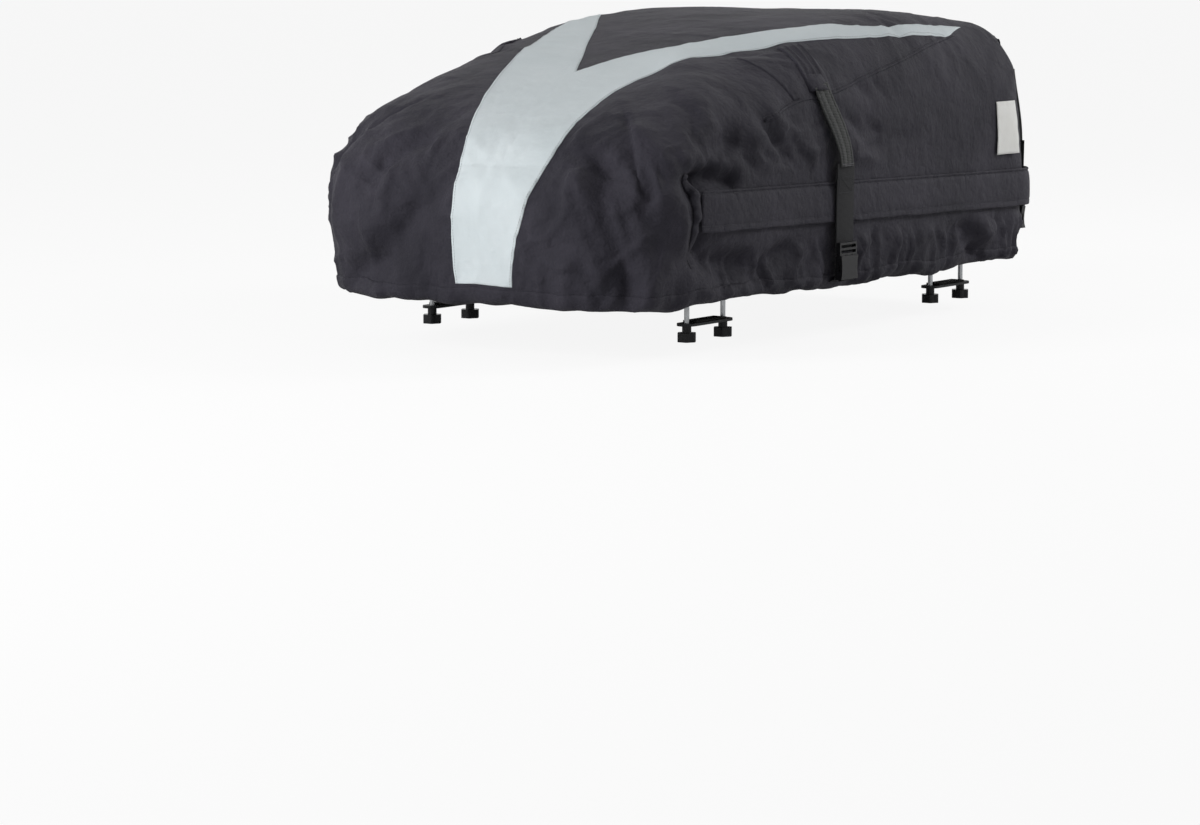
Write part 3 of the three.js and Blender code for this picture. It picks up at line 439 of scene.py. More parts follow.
def cube_grid(cells):
    """Lattice points on a cube's surface, from -1 to 1, and the quads between them."""
    spans = np.array(cells) + 1
    quads = []
    for axis in range(3):
        u, v = [k for k in range(3) if k != axis]
        i, j = np.meshgrid(np.arange(cells[u]), np.arange(cells[v]), indexing="ij")
        for end in (0, cells[axis]):
            corners = []
            for du, dv in ((0, 0), (1, 0), (1, 1), (0, 1)):
                at = np.zeros((i.size, 3), int)
                at[:, axis] = end
                at[:, u] = i.ravel() + du
                at[:, v] = j.ravel() + dv
                corners.append((at[:, 0] * spans[1] + at[:, 1]) * spans[2] + at[:, 2])
            face = np.stack(corners, 1)
            outward = (end > 0) == (axis != 1)
            quads.append(face if outward else face[:, ::-1])
    codes, faces = np.unique(np.concatenate(quads), return_inverse=True)
    lattice = np.stack([codes // (spans[1] * spans[2]), codes // spans[2] % spans[1], codes % spans[2]], 1)
    return lattice * 2.0 / np.array(cells) - 1, faces.reshape(-1, 4)


def normals_of(points, faces):
    """Smooth outward normals at the points."""
    first = points[faces[:, 2]] - points[faces[:, 0]]
    second = points[faces[:, -1]] - points[faces[:, 1]]
    flat = np.cross(first, second)
    out = np.zeros_like(points)
    for k in range(faces.shape[1]):
        np.add.at(out, faces[:, k], flat)
    return units(out)


def near_line(points, start, end):
    """Each point's place along a line, as a share, and how far it is from the stretch between the ends."""
    start, end = np.array(start, float), np.array(end, float)
    line = end - start
    share = (points - start) @ line / (line @ line)
    foot = np.clip(share, 0, 1)[:, None] * line
    return share, np.linalg.norm(points - start - foot, axis=1)


def fold_lift(points, folds):
    """How far round folds and hollows lift each point."""
    lift = np.zeros(len(points))
    for start, end, reach, height in folds:
        away = near_line(points, start, end)[1] / reach
        lift += height * np.exp(-away * away)
    return lift


def crease_lift(points):
    """How far narrow creases, pinched along their middle, lift each point."""
    lift = np.zeros(len(points))
    for start, end, reach, height in CREASES:
        share, away = near_line(points, start, end)
        fade = 1 - 0.5 * smooth(0.2, 0.8, np.abs(share - 0.5))
        lift += 1.35 * height * fade * np.exp(0.3 - np.hypot(away / reach, 0.3) * 1.25)
    return lift


def flap_top(y):
    """The height of the flap's sewn edge."""
    return FLAP_TOP_FRONT + (FLAP_TOP_REAR - FLAP_TOP_FRONT) * (y - FLAP_FRONT_Y) / (REAR_Y - FLAP_FRONT_Y)


def held_flat(points):
    """1 where the zip behind the flap holds the cloth flat, 0 away from it."""
    behind = smooth(FLAP_FRONT_Y - FREE_BEFORE_FLAP, FLAP_FRONT_Y, points[:, 1])
    middle = (FLAP_TOP_FRONT + FLAP_TOP_REAR - FLAP_HEIGHT) / 2
    half = FLAP_HEIGHT / 2
    near = 1 - smooth(half + FLAP_HOLD, half + FLAP_FREE, np.abs(points[:, 2] - middle))
    return behind * near


def under_straps(points):
    """1 behind the hanging straps, which press the cloth back, 0 away from them."""
    x, y, z = points.T
    side = (1 - smooth(*PRESS_REACH, np.abs(y - SIDE_STRAP_Y))) * smooth(250, 290, np.abs(x))
    rear = (1 - smooth(*PRESS_REACH, np.abs(np.abs(x) - REAR_STRAP_X))) * smooth(790, 860, y)
    return np.maximum(side, rear) * (1 - smooth(185, 235, z))


def crinkles(points):
    """Small creases of slack cloth: long and upright on the walls, faint on the roof."""
    x, y, z = points.T
    warp = np.stack([noise(points, 90, 11), noise(points, 90, 12), noise(points, 90, 13)], 1) * 30
    warped = points + warp
    on_roof = smooth(*ON_ROOF_HEIGHTS, z)
    nose = 1 - smooth(*NOSE_ENDS, y)
    under_flap = (1 - smooth(*UNDER_FLAP_ENDS, z)) * (1 - nose)
    tall = (1 - np.abs(noise(warped, (46, 46, 170), 21))) ** 6 - 0.2
    cross = (1 - np.abs(noise(warped, (80, 80, 60), 22))) ** 8 - 0.15
    small = noise(warped, (20, 20, 34), 23)
    calm = 1 - 0.7 * smooth(*CALM_WALL_STARTS, y) * smooth(*CALM_WALL_HEIGHTS, z)
    wall = tall * (1.5 * calm + 4.2 * under_flap + 0.7 * nose) + cross * 2.2 * calm + small * 0.3
    hem = (1 - smooth(*HEM_CREASE_HEIGHTS, z)) * noise(points, (17, 17, 90), 26)
    zip_edge = (1 - smooth(0, 45, np.abs(z - 84))) * (1 - nose) * noise(points, (19, 19, 70), 27)
    wall += 1.9 * hem + 1.5 * zip_edge
    roof = (1 - np.abs(noise(warped, (170, 60, 90), 24))) ** 4 * 1.3 + noise(warped, (60, 60, 60), 25) * 0.7
    return wall * (1 - on_roof) + roof * on_roof


def on_stripe(form):
    """How far a place lies under the stripe's broad part on the nose, whose stiffer cloth lies calmer."""
    x, y, z = form.T
    way = (y - NOSE_Y) + (z - BASE_Z)
    left = np.interp(way, *zip(*STRIPE_LEFT))
    right = np.interp(way, *zip(*STRIPE_RIGHT))
    inside = smooth(*STRIPE_CALM_EDGE, x - right) * smooth(*STRIPE_CALM_EDGE, left - x)
    return inside * (1 - smooth(*STRIPE_BROAD_ENDS, way))


def hem_wave(form, inward):
    """How far the lower edge hangs below the base, away from the pads, with its waves."""
    _, y, z = form.T
    low = (1 - smooth(*HEM_HEIGHTS, z)) * (1 - smooth(*HEM_DEPTHS, inward))
    free = np.ones(len(form))
    for place in PAD_PLACES:
        free *= smooth(PAD_CLEAR, PAD_CLEAR + 60, np.abs(y - place))
    free *= 1 - 0.9 * smooth(*REAR_STARTS, y)
    wave = 0.55 + 0.3 * np.sin(y / 41.0 + 0.8) + 0.75 * noise(form, (52, 52, 400), 41)
    return HEM_DROP * low * free * wave


def mirrored(path):
    """The same path on the other side."""
    return [(-x, y, z) for x, y, z in path]


def both_sides(folds):
    """The folds of the left side, and the same fainter on the right side, which is only guessed."""
    return folds + [(*mirrored((start, end)), reach, 0.6 * height) for start, end, reach, height in folds]


def neighbour_means(quads, count):
    """A function that gives each point the mean of the points beside it."""
    pairs = np.concatenate([quads[:, [k, (k + 1) % 4]] for k in range(4)])
    pairs = np.concatenate([pairs, pairs[:, ::-1]])
    pairs = pairs[np.argsort(pairs[:, 0], kind="stable")]
    starts = np.searchsorted(pairs[:, 0], np.arange(count))
    shares = np.diff(np.r_[starts, len(pairs)])[:, None]
    return lambda values: np.add.reduceat(values[pairs[:, 1]], starts, axis=0) / shares


def finer(cells, lattice, values):
    """Values at a cube's lattice points, taken to the lattice with cells half the size."""
    fine, quads = cube_grid(tuple(2 * c for c in cells))
    step = np.array(cells)
    place = np.round((fine + 1) * step).astype(int)
    known = np.round((lattice + 1) / 2 * step).astype(int)
    code = np.array([10**6, 10**3, 1])
    order = np.argsort(known @ code)
    codes = (known @ code)[order]
    total = np.zeros((len(fine), values.shape[1]))
    count = np.zeros((len(fine), 1))
    for ends in itertools.product((0, 1), repeat=3):
        wanted = np.where(np.array(ends), (place + 1) // 2, place // 2) @ code
        at = np.clip(np.searchsorted(codes, wanted), 0, len(codes) - 1)
        found = codes[at] == wanted
        total[found] += values[order[at[found]]]
        count[found] += 1
    return fine, quads, total / count


def settled(lattice, quads):
    """Lets slack cloth swell against the zips, straps and base that hold it, and gives each point's move."""
    form, _ = bag_form(*lattice.T)
    out = normals_of(form, quads)
    x, y, z = form.T
    sleeve_y = SIDE_STRAP_Y - SLEEVE_LEAN * smooth(*SLEEVE_LEAN_HEIGHTS, z)
    held = (held_flat(form) > 0.9) | (z < BASE_Z + 3)
    held |= (np.abs(y - sleeve_y) < SLEEVE_HOLD) & (np.abs(x) > 250)
    held |= (np.abs(np.abs(x) - REAR_STRAP_X) < SLEEVE_HOLD) & (y > 800)
    slack = 0.6 * fold_lift(form, BIG_FOLDS) + 1.3 * crinkles(form)
    start = form + out * slack[:, None] * (1 - held_flat(form))[:, None]
    mesh = bpy.data.meshes.new("settling")
    mesh.from_pydata((start * MM).tolist(), [], quads.tolist())
    cover = bpy.data.objects.new("settling", mesh)
    bpy.context.scene.collection.objects.link(cover)
    cover.shape_key_add(name="Basis")
    cut = cover.shape_key_add(name="cut")
    middle = np.array([0, MIDDLE_Y, 0])
    cut.data.foreach_set("co", (((form - middle) * CUT_LARGER + middle) * MM).ravel())
    group = cover.vertex_groups.new(name="held")
    group.add(np.nonzero(held)[0].tolist(), 1.0, "REPLACE")
    cloth = cover.modifiers.new("cloth", "CLOTH")
    cloth.settings.quality = 5
    cloth.settings.mass = 0.3
    cloth.settings.tension_stiffness = 30
    cloth.settings.compression_stiffness = 30
    cloth.settings.shear_stiffness = 15
    cloth.settings.bending_stiffness = 0.05
    cloth.settings.use_pressure = True
    cloth.settings.uniform_pressure_force = 6
    cloth.settings.effector_weights.gravity = 0
    cloth.settings.vertex_group_mass = "held"
    cloth.settings.rest_shape_key = cut
    cloth.collision_settings.use_collision = False
    cloth.point_cache.frame_end = SETTLE_STEPS
    for step in range(1, SETTLE_STEPS + 1):
        bpy.context.scene.frame_set(step)
    swollen = cover.evaluated_get(bpy.context.evaluated_depsgraph_get()).to_mesh()
    places = np.empty(len(form) * 3)
    swollen.vertices.foreach_get("co", places)
    bpy.data.objects.remove(cover)
    bpy.context.scene.frame_set(1)
    move = places.reshape(-1, 3) / MM - form
    means = neighbour_means(quads, len(form))
    broad = move
    for _ in range(BROAD_PASSES):
        broad = means(broad)
    move = move - broad
    far = np.linalg.norm(move, axis=1)
    return move * (MOST_MOVE * np.tanh(far / MOST_MOVE) / np.maximum(far, 1e-6))[:, None]


def shell_surface():
    """The cloth of the whole bag: points, quads, normals and each point's place on the smooth form."""
    lattice, coarse = cube_grid(SETTLE_CELLS)
    move = settled(lattice, coarse)
    lattice, quads, move = finer(SETTLE_CELLS, lattice, move)
    form, inward = bag_form(*lattice.T)
    means = neighbour_means(quads, len(form))
    move = 0.5 * move + 0.5 * means(move)
    out = normals_of(form, quads)
    above_base = smooth(BASE_Z, BASE_Z + 14, form[:, 2])
    slack = (1 - held_flat(form)) * above_base
    pressed = 1 - 0.75 * under_straps(form)
    calm = 1 - 0.6 * on_stripe(form)
    lift = (fold_lift(form, BIG_FOLDS) + crinkles(form)) * calm + crease_lift(form)
    shaped = fold_lift(form, both_sides(SHAPED) + ONE_SIDED) * above_base
    lift = lift * pressed * slack + np.where(shaped > 0, shaped * slack, shaped)
    points = form + out * lift[:, None] + move * (slack * pressed * calm)[:, None]
    points[:, 2] -= hem_wave(form, inward)
    for place in PAD_PLACES:
        on_pad = (np.abs(points[:, 1] - place) < PAD_CLEAR) & (points[:, 2] < BASE_Z + 0.2)
        points[on_pad, 2] = BASE_Z + 0.2
    return points, quads, normals_of(points, quads), form


# Mesh helpers

def run_lengths(path):
    """How far along a path each of its points lies."""
    return np.r_[0, np.cumsum(np.linalg.norm(np.diff(path, axis=0), axis=1))]


def read_along(at, lengths, table):
    """A table's rows at the lengths asked for."""
    return np.stack([np.interp(at, lengths, column) for column in table.T], 1)


def resampled(path, step):
    """A path's points again, at even steps."""
    path = np.asarray(path, float)
    lengths = run_lengths(path)
    count = max(2, int(round(lengths[-1] / step)) + 1)
    return read_along(np.linspace(0, lengths[-1], count), lengths, path)


def rounded_line(points, steps=6):
    """A Catmull-Rom curve through points."""
    p = np.asarray(points, float)
    p = np.concatenate([[2 * p[0] - p[1]], p, [2 * p[-1] - p[-2]]])
    made = []
    for a, b, c, d in zip(p, p[1:], p[2:], p[3:]):
        for t in np.arange(steps) / steps:
            bend = (2 * a - 5 * b + 4 * c - d) * t**2
            made.append(0.5 * (2 * b + (c - a) * t + bend + (3 * b - a - 3 * c + d) * t**3))
    made.append(p[-2])
    return np.array(made)


def tangents(path):
    """The directions along a path."""
    return units(np.gradient(path, axis=0))


class Shell:
    """The bag's outer cloth, for laying other pieces on it.

    A row holds a point's place, its normal and its place on the smooth form, three numbers each.
    """

    def __init__(self):
        self.points, self.quads, self.normals, self.form = shell_surface()
        self.triangles = np.concatenate([self.quads[:, [0, 1, 2]], self.quads[:, [0, 2, 3]]])
        self.rows = np.concatenate([self.points, self.normals, self.form], 1)
        self.tree = BVHTree.FromPolygons(self.points.tolist(), self.triangles.tolist())

    def at(self, place, index):
        """A place on one triangle of the cloth, and its smooth normal."""
        corners = [Vector(self.points[k]) for k in self.triangles[index]]
        normals = [Vector(self.normals[k]) for k in self.triangles[index]]
        return place, barycentric_transform(place, *corners, *normals).normalized()

    def nearest(self, point):
        """The nearest place on the cloth and its smooth normal."""
        place, _, index, _ = self.tree.find_nearest(Vector(point))
        return self.at(place, index)

    def hit(self, start, direction):
        """The first place on the cloth that a ray meets, and its smooth normal."""
        place, _, index, _ = self.tree.ray_cast(Vector(start), Vector(direction).normalized())
        return self.at(place, index)

    def beside(self, line, across, lift):
        """Places at a distance beside a line on the cloth, lifted off it, and the normals there."""
        places, ups = [], []
        for point, forward in zip(line, tangents(line)):
            place, normal = self.nearest(point)
            spot, up = self.nearest(place + normal.cross(Vector(forward)).normalized() * across)
            places.append(spot + up * lift)
            ups.append(up)
        return np.array(places), np.array(ups)


def flat_map(mesh):
    """A map in metres for weaves, taken face by face from the side that each face looks to."""
    layer = mesh.uv_layers.new(name="weave")
    count = len(mesh.loops)
    vertex = np.empty(count, int)
    mesh.loops.foreach_get("vertex_index", vertex)
    co = np.empty(len(mesh.vertices) * 3)
    mesh.vertices.foreach_get("co", co)
    co = co.reshape(-1, 3)[vertex]
    normal = np.empty(len(mesh.polygons) * 3)
    mesh.polygons.foreach_get("normal", normal)
    total = np.empty(len(mesh.polygons), int)
    mesh.polygons.foreach_get("loop_total", total)
    facing = np.abs(np.repeat(normal.reshape(-1, 3), total, axis=0)).argmax(1)
    u = np.where(facing == 0, co[:, 1], co[:, 0])
    v = np.where(facing == 2, co[:, 1], co[:, 2])
    layer.data.foreach_set("uv", np.stack([u, v], 1).ravel())


def piece(name, points, faces, finish, body="bag", stands_for=(), slot=None, mapped=True):
    """A mesh of the object, from points in millimetres."""
    mesh = bpy.data.meshes.new(name)
    mesh.from_pydata((np.asarray(points, float) * MM).tolist(), [], [list(map(int, f)) for f in faces])
    mesh.validate()
    mesh.polygons.foreach_set("use_smooth", [True] * len(mesh.polygons))
    if mapped:
        flat_map(mesh)
    made = bpy.data.objects.new(name, mesh)
    bpy.context.scene.collection.objects.link(made)
    made.data.materials.append(finish)
    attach(made, body)
    if stands_for:
        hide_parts(*stands_for)
    return made


def clipped(rows, triangles, field):
    """The part of a surface where a field over its points is above zero."""
    inside = field > 0
    count = inside[triangles].sum(1)
    kept = triangles[count == 3]
    cut = (count == 1) | (count == 2)
    added, made, fresh = [], {}, []

    def crossing(i, j):
        key = (min(i, j), max(i, j))
        if key not in made:
            t = field[i] / (field[i] - field[j])
            made[key] = len(rows) + len(added)
            added.append(rows[i] + t * (rows[j] - rows[i]))
        return made[key]

    for triangle, alone in zip(triangles[cut], count[cut] == 1):
        odd = next(k for k in range(3) if inside[triangle[k]] == alone)
        a, b, c = np.roll(triangle, -odd)
        ab, ac = crossing(a, b), crossing(a, c)
        if inside[a]:
            fresh.append((a, ab, ac))
        else:
            fresh += [(ab, b, c), (ab, c, ac)]
    every = np.concatenate([kept, np.array(fresh, int).reshape(-1, 3)])
    table = np.concatenate([rows, np.array(added).reshape(-1, rows.shape[1])])
    used, again = np.unique(every, return_inverse=True)
    return table[used], again.reshape(-1, 3)


def welded(rows, triangles):
    """Joins points that lie together, and drops triangles that this closes."""
    codes = np.round(rows[:, :3] * 50).astype(int)
    _, first, again = np.unique(codes, axis=0, return_index=True, return_inverse=True)
    triangles = again.ravel()[triangles]
    whole = (triangles[:, 0] != triangles[:, 1]) & (triangles[:, 1] != triangles[:, 2])
    whole &= triangles[:, 0] != triangles[:, 2]
    return rows[first], triangles[whole]


def edge_loops(triangles):
    """Directed edges that only one triangle has."""
    edges = np.concatenate([triangles[:, [0, 1]], triangles[:, [1, 2]], triangles[:, [2, 0]]])
    width = triangles.max() + 1
    forward = edges[:, 0] * width + edges[:, 1]
    backward = edges[:, 1] * width + edges[:, 0]
    return edges[~np.isin(forward, backward)]


def cloth_layer(rows, triangles, gap, thick):
    """A closed layer of cloth on the surface, thinner along its turned edge."""
    points, normals = rows[:, 0:3], rows[:, 3:6]
    rim = edge_loops(triangles)
    height = np.full(len(points), gap + thick)
    height[np.unique(rim)] = gap + thick * EDGE_THINNER
    top = points + normals * height[:, None]
    back = points + normals * gap
    count = len(points)
    walls = [(int(i) + count, int(j) + count, int(j), int(i)) for i, j in rim]
    faces = triangles.tolist() + (triangles[:, ::-1] + count).tolist() + walls
    return np.concatenate([top, back]), faces


def swept(sections):
    """Points and faces of a closed tube through sections that have equal counts of points."""
    count = len(sections[0])
    last = (len(sections) - 1) * count
    faces = []
    for start in range(0, last, count):
        for k in range(count):
            n = (k + 1) % count
            faces.append((start + k, start + n, start + count + n, start + count + k))
    faces.append(tuple(reversed(range(count))))
    faces.append(tuple(range(last, last + count)))
    return np.concatenate(sections), faces


def facing_out(points, faces):
    """The same closed shape with its faces turned outward."""
    volume = 0.0
    for face in faces:
        for i, j in zip(face[1:], face[2:]):
            volume += float(np.dot(points[face[0]], np.cross(points[i], points[j])))
    return points, faces if volume > 0 else [tuple(reversed(face)) for face in faces]


def shell_strip(shell, path, section, step):
    """A strip sewn along a path on the cloth.

    The section has (across, height) points, or gives them for a share of the way.
    """
    line = resampled(path, step)
    sections = []
    for k, (point, forward) in enumerate(zip(line, tangents(line))):
        place, normal = shell.nearest(point)
        side = normal.cross(Vector(forward)).normalized()
        outline = section(k / (len(line) - 1)) if callable(section) else section
        spots = [(*shell.nearest(place + side * across), height) for across, height in outline]
        sections.append(np.array([spot + up * height for spot, up, height in spots]))
    return facing_out(*swept(sections))


def ribbon(path, outward, section):
    """Webbing that hangs along a path, with its section's heights pointing outward."""
    sections = []
    for spot, ahead in zip(path, tangents(path)):
        side = np.cross(outward, ahead)
        side /= np.linalg.norm(side)
        up = np.cross(ahead, side)
        sections.append(np.array([spot + across * side + height * up for across, height in section]))
    return facing_out(*swept(sections))


def stitch_row(places, normals, pitch, length, width=0.7):
    """Short stitches along a line, each a flat six-sided grain."""
    lengths = run_lengths(places)
    at = np.arange(pitch / 2, lengths[-1], pitch)
    where = read_along(at, lengths, places)
    up = units(read_along(at, lengths, normals))
    ahead = units(read_along(at + 0.5, lengths, places) - where)
    side = np.cross(up, ahead)
    half, wide = length / 2, width / 2
    grain = [(-half, 0, -0.25), (-half * 0.5, wide, 0.1), (-half * 0.5, 0, 0.55), (-half * 0.5, -wide, 0.1)]
    grain += [(half * 0.5, wide, 0.1), (half * 0.5, 0, 0.55), (half * 0.5, -wide, 0.1), (half, 0, -0.25)]
    points = np.stack([where + a * ahead + b * side + c * up for a, b, c in grain], 1).reshape(-1, 3)
    block = [(0, 2, 1), (0, 3, 2), (1, 2, 5, 4), (2, 3, 6, 5), (1, 4, 6, 3)]
    block += [(0, 1, 3), (4, 5, 7), (5, 6, 7), (4, 7, 6)]
    return points, [tuple(8 * i + k for k in face) for i in range(len(where)) for face in block]


def merged(parts):
    """Several (points, faces) as one."""
    points, faces, start = [], [], 0
    for some, shape in parts:
        points.append(some)
        faces += [tuple(int(k) + start for k in face) for face in shape]
        start += len(some)
    return np.concatenate(points), faces


# Node groups shared by the finishes

class Nodes:
    """Short ways to make and join the nodes of one tree."""

    def __init__(self, tree):
        self.tree = tree

    def add(self, kind, links=(), **values):
        """A node with its values set, and its inputs joined or set."""
        node = self.tree.nodes.new(kind)
        for key, value in values.items():
            setattr(node, key, value)
        for socket, source in dict(links).items():
            self.join(source, node.inputs[socket])
        return node

    def join(self, source, socket):
        """Links another node's output to a socket, or sets the socket's own value."""
        if isinstance(source, bpy.types.NodeSocket):
            self.tree.links.new(source, socket)
        else:
            socket.default_value = source

    def group(self, tree, **values):
        """A placed group's outputs. Its inputs are named with _ for a space."""
        links = {name.replace("_", " "): value for name, value in values.items()}
        return self.add("ShaderNodeGroup", links, node_tree=tree).outputs

    def math(self, operation, *values):
        return self.add("ShaderNodeMath", dict(enumerate(values)), operation=operation).outputs[0]

    def mix(self, share, first, second):
        return self.add("ShaderNodeMix", {0: share, 6: first, 7: second}, data_type="RGBA").outputs[2]

    def ramp(self, value, low, high):
        return self.add("ShaderNodeMapRange", {0: value, 1: low, 2: high}).outputs[0]

    def noise(self, vector, scale, detail, rough):
        links = {"Vector": vector, "Scale": scale, "Detail": detail, "Roughness": rough}
        return self.add("ShaderNodeTexNoise", links).outputs["Fac"]

    def bump(self, height, depth, strength, below=None):
        """Relief of a depth in metres, on top of another relief if one is given."""
        links = {"Height": height, "Distance": depth, "Strength": strength}
        if below is not None:
            links["Normal"] = below
        return self.add("ShaderNodeBump", links).outputs[0]

    def object_place(self):
        return self.add("ShaderNodeTexCoord").outputs["Object"]

    def weave_map(self):
        return self.add("ShaderNodeUVMap", uv_map="weave").outputs[0]


def new_group(name, inputs, outputs):
    """A node group with its inputs and outputs named: the group, its nodes and what comes in.

    An input without a number takes a map.
    """
    group = bpy.data.node_groups.new(name, "ShaderNodeTree")
    for label, value in inputs.items():
        kind = "NodeSocketVector" if value is None else "NodeSocketFloat"
        socket = group.interface.new_socket(label, in_out="INPUT", socket_type=kind)
        if value is not None:
            socket.default_value = value
    for label in outputs:
        group.interface.new_socket(label, in_out="OUTPUT", socket_type="NodeSocketFloat")
    n = Nodes(group)
    return group, n, n.add("NodeGroupInput").outputs


def weave_group():
    """Plain weave: over and under threads from a map in metres."""
    inputs = {"Map": None, "Threads per metre": 1600.0}
    group, n, source = new_group("plain_weave", inputs, ["Height", "Gaps"])
    parts = n.add("ShaderNodeSeparateXYZ", {0: source[0]}).outputs
    turn = n.math("MULTIPLY", source[1], math.pi)
    u = n.math("MULTIPLY", parts[0], turn)
    v = n.math("MULTIPLY", parts[1], turn)
    warp = n.math("ABSOLUTE", n.math("SINE", u))
    weft = n.math("ABSOLUTE", n.math("SINE", v))
    over = n.math("GREATER_THAN", n.math("SINE", n.math("ADD", u, v)), 0.0)
    raised_weft = n.math("MULTIPLY", weft, n.math("SUBTRACT", 1.0, over))
    height = n.math("ADD", n.math("MULTIPLY", warp, over), raised_weft)
    gaps = n.math("SUBTRACT", 1.0, n.math("MAXIMUM", warp, weft))
    n.add("NodeGroupOutput", {0: height, 1: gaps})
    return group


def handling_group():
    """Uneven colour and light scuffs of cloth or plastic that was handled."""
    inputs = {"Patch size": 9.0, "Scuff size": 60.0}
    group, n, source = new_group("handling_marks", inputs, ["Patches", "Scuffs"])
    place = n.object_place()
    patches = n.noise(place, source[0], 3.0, 0.6)
    fine = n.noise(place, source[1], 4.0, 0.65)
    scuffs = n.math("MULTIPLY", n.ramp(fine, 0.55, 0.78), n.ramp(patches, 0.42, 0.7))
    n.add("NodeGroupOutput", {0: patches, 1: scuffs})
    return group


def rib_group():
    """Webbing: fine ribs across the strap with a woven grain, from a map in metres."""
    inputs = {"Map": None, "Ribs per metre": 620.0}
    group, n, source = new_group("webbing_ribs", inputs, ["Height"])
    parts = n.add("ShaderNodeSeparateXYZ", {0: source[0]}).outputs
    turn = n.math("MULTIPLY", source[1], 2 * math.pi)
    across = n.math("SINE", n.math("MULTIPLY", parts[1], turn))
    shifted = n.math("ADD", n.math("MULTIPLY", parts[0], turn), n.math("MULTIPLY", across, 1.2))
    along = n.math("SINE", shifted)
    height = n.math("ADD", n.math("MULTIPLY", across, 0.6), n.math("MULTIPLY", along, 0.4))
    n.add("NodeGroupOutput", {0: height})
    return group


def grain_group():
    """Moulded or sprayed grain."""
    group, n, source = new_group("moulded_grain", {"Grain size": 900.0}, ["Height"])
    n.add("NodeGroupOutput", {0: n.noise(n.object_place(), source[0], 2.0, 0.5)})
    return group


WEAVE = weave_group()
HANDLING = handling_group()
RIBS = rib_group()
GRAIN = grain_group()


# The finishes

def linear(r, g, b):
    """A colour given as 0 to 255 on screen."""
    def one(v):
        v = v / 255
        return v / 12.92 if v <= 0.04045 else ((v + 0.055) / 1.055) ** 2.4
    return (one(r), one(g), one(b), 1.0)


def tinted(colour, factor, lift=0.0):
    """A colour made lighter or darker, no lighter than white."""
    return tuple(min(1, factor * c + lift) for c in colour[:3]) + (1,)


def finish(name):
    """A new material, its nodes and its shader."""
    made = bpy.data.materials.new(name)
    made.use_nodes = True
    return made, Nodes(made.node_tree), made.node_tree.nodes["Principled BSDF"]


def dress(n, shader, colour, rough, uneven, amount, relief, gloss):
    """Joins a finish to its shader: colour, roughness that varies with a mask, relief and gloss."""
    n.join(colour, shader.inputs["Base Color"])
    n.join(n.math("ADD", rough, n.math("MULTIPLY", uneven, amount)), shader.inputs["Roughness"])
    n.join(relief, shader.inputs["Normal"])
    shader.inputs["Specular IOR Level"].default_value = gloss


def cloth_finish(name, dark, light, threads, rough, sheen, gloss, crumple, patch_size=7.0):
    """Woven cloth: thread relief, small crumples, uneven dye, light handling marks, and painted shade in the
    gaps between threads.
    """
    made, n, shader = finish(name)
    weave = n.group(WEAVE, Map=n.weave_map(), Threads_per_metre=threads)
    marks = n.group(HANDLING, Patch_size=patch_size, Scuff_size=70.0)
    body = n.mix(n.ramp(marks["Patches"], 0.3, 0.72), dark, light)
    faded = n.mix(n.math("MULTIPLY", marks["Scuffs"], 0.22), body, tinted(light, 2.2))
    # Painted shade: the colour is darkened in the gaps between the threads, where shade falls.
    shaded = n.mix(n.math("MULTIPLY", weave["Gaps"], 0.5), faded, tinted(dark, 0.45))
    place = n.object_place()
    ridges = n.math("ABSOLUTE", n.math("SUBTRACT", n.noise(place, 15.0, 4.0, 0.6), 0.5))
    creased = n.bump(ridges, 0.016, crumple)
    slack = n.bump(n.noise(place, 44.0, 3.0, 0.6), 0.0036, crumple, creased)
    relief = n.bump(weave["Height"], 0.00022, 0.8, slack)
    dress(n, shader, shaded, rough, marks["Scuffs"], 0.12, relief, gloss)
    shader.inputs["Sheen Weight"].default_value = sheen
    shader.inputs["Sheen Roughness"].default_value = 0.45
    return made


def webbing_finish(name, dark, light, ribs, rough):
    """Ribbed webbing, paler where it is scuffed, with painted light on the rib crests and painted shade
    between the ribs.
    """
    made, n, shader = finish(name)
    woven = n.group(RIBS, Map=n.weave_map(), Ribs_per_metre=ribs)
    marks = n.group(HANDLING, Patch_size=22.0, Scuff_size=160.0)
    # Painted light and shade: the colour goes from the dark one between the ribs to the light one on their
    # crests.
    high = n.ramp(woven["Height"], -1.0, 1.0)
    worn = n.mix(n.math("MULTIPLY", marks["Scuffs"], 0.3), n.mix(high, dark, light), tinted(light, 2.4))
    dress(n, shader, worn, rough, high, -0.15, n.bump(woven["Height"], 0.0006, 0.9), 0.14)
    shader.inputs["Sheen Weight"].default_value = 0.04
    return made


def hard_finish(name, dark, light, rough, grain_size, grain_depth, metal=0.0):
    """Moulded plastic, rubber, paint or plated metal: grain, handling marks and uneven gloss."""
    made, n, shader = finish(name)
    grain = n.group(GRAIN, Grain_size=grain_size)
    marks = n.group(HANDLING, Patch_size=35.0, Scuff_size=240.0)
    body = n.mix(marks["Patches"], dark, light)
    worn = n.mix(n.math("MULTIPLY", marks["Scuffs"], 0.25), body, tinted(light, 2.5, 0.01))
    relief = n.bump(grain["Height"], grain_depth, 0.6)
    dress(n, shader, worn, rough, marks["Scuffs"], 0.2, relief, 0.5 if metal else 0.22)
    shader.inputs["Metallic"].default_value = metal
    return made


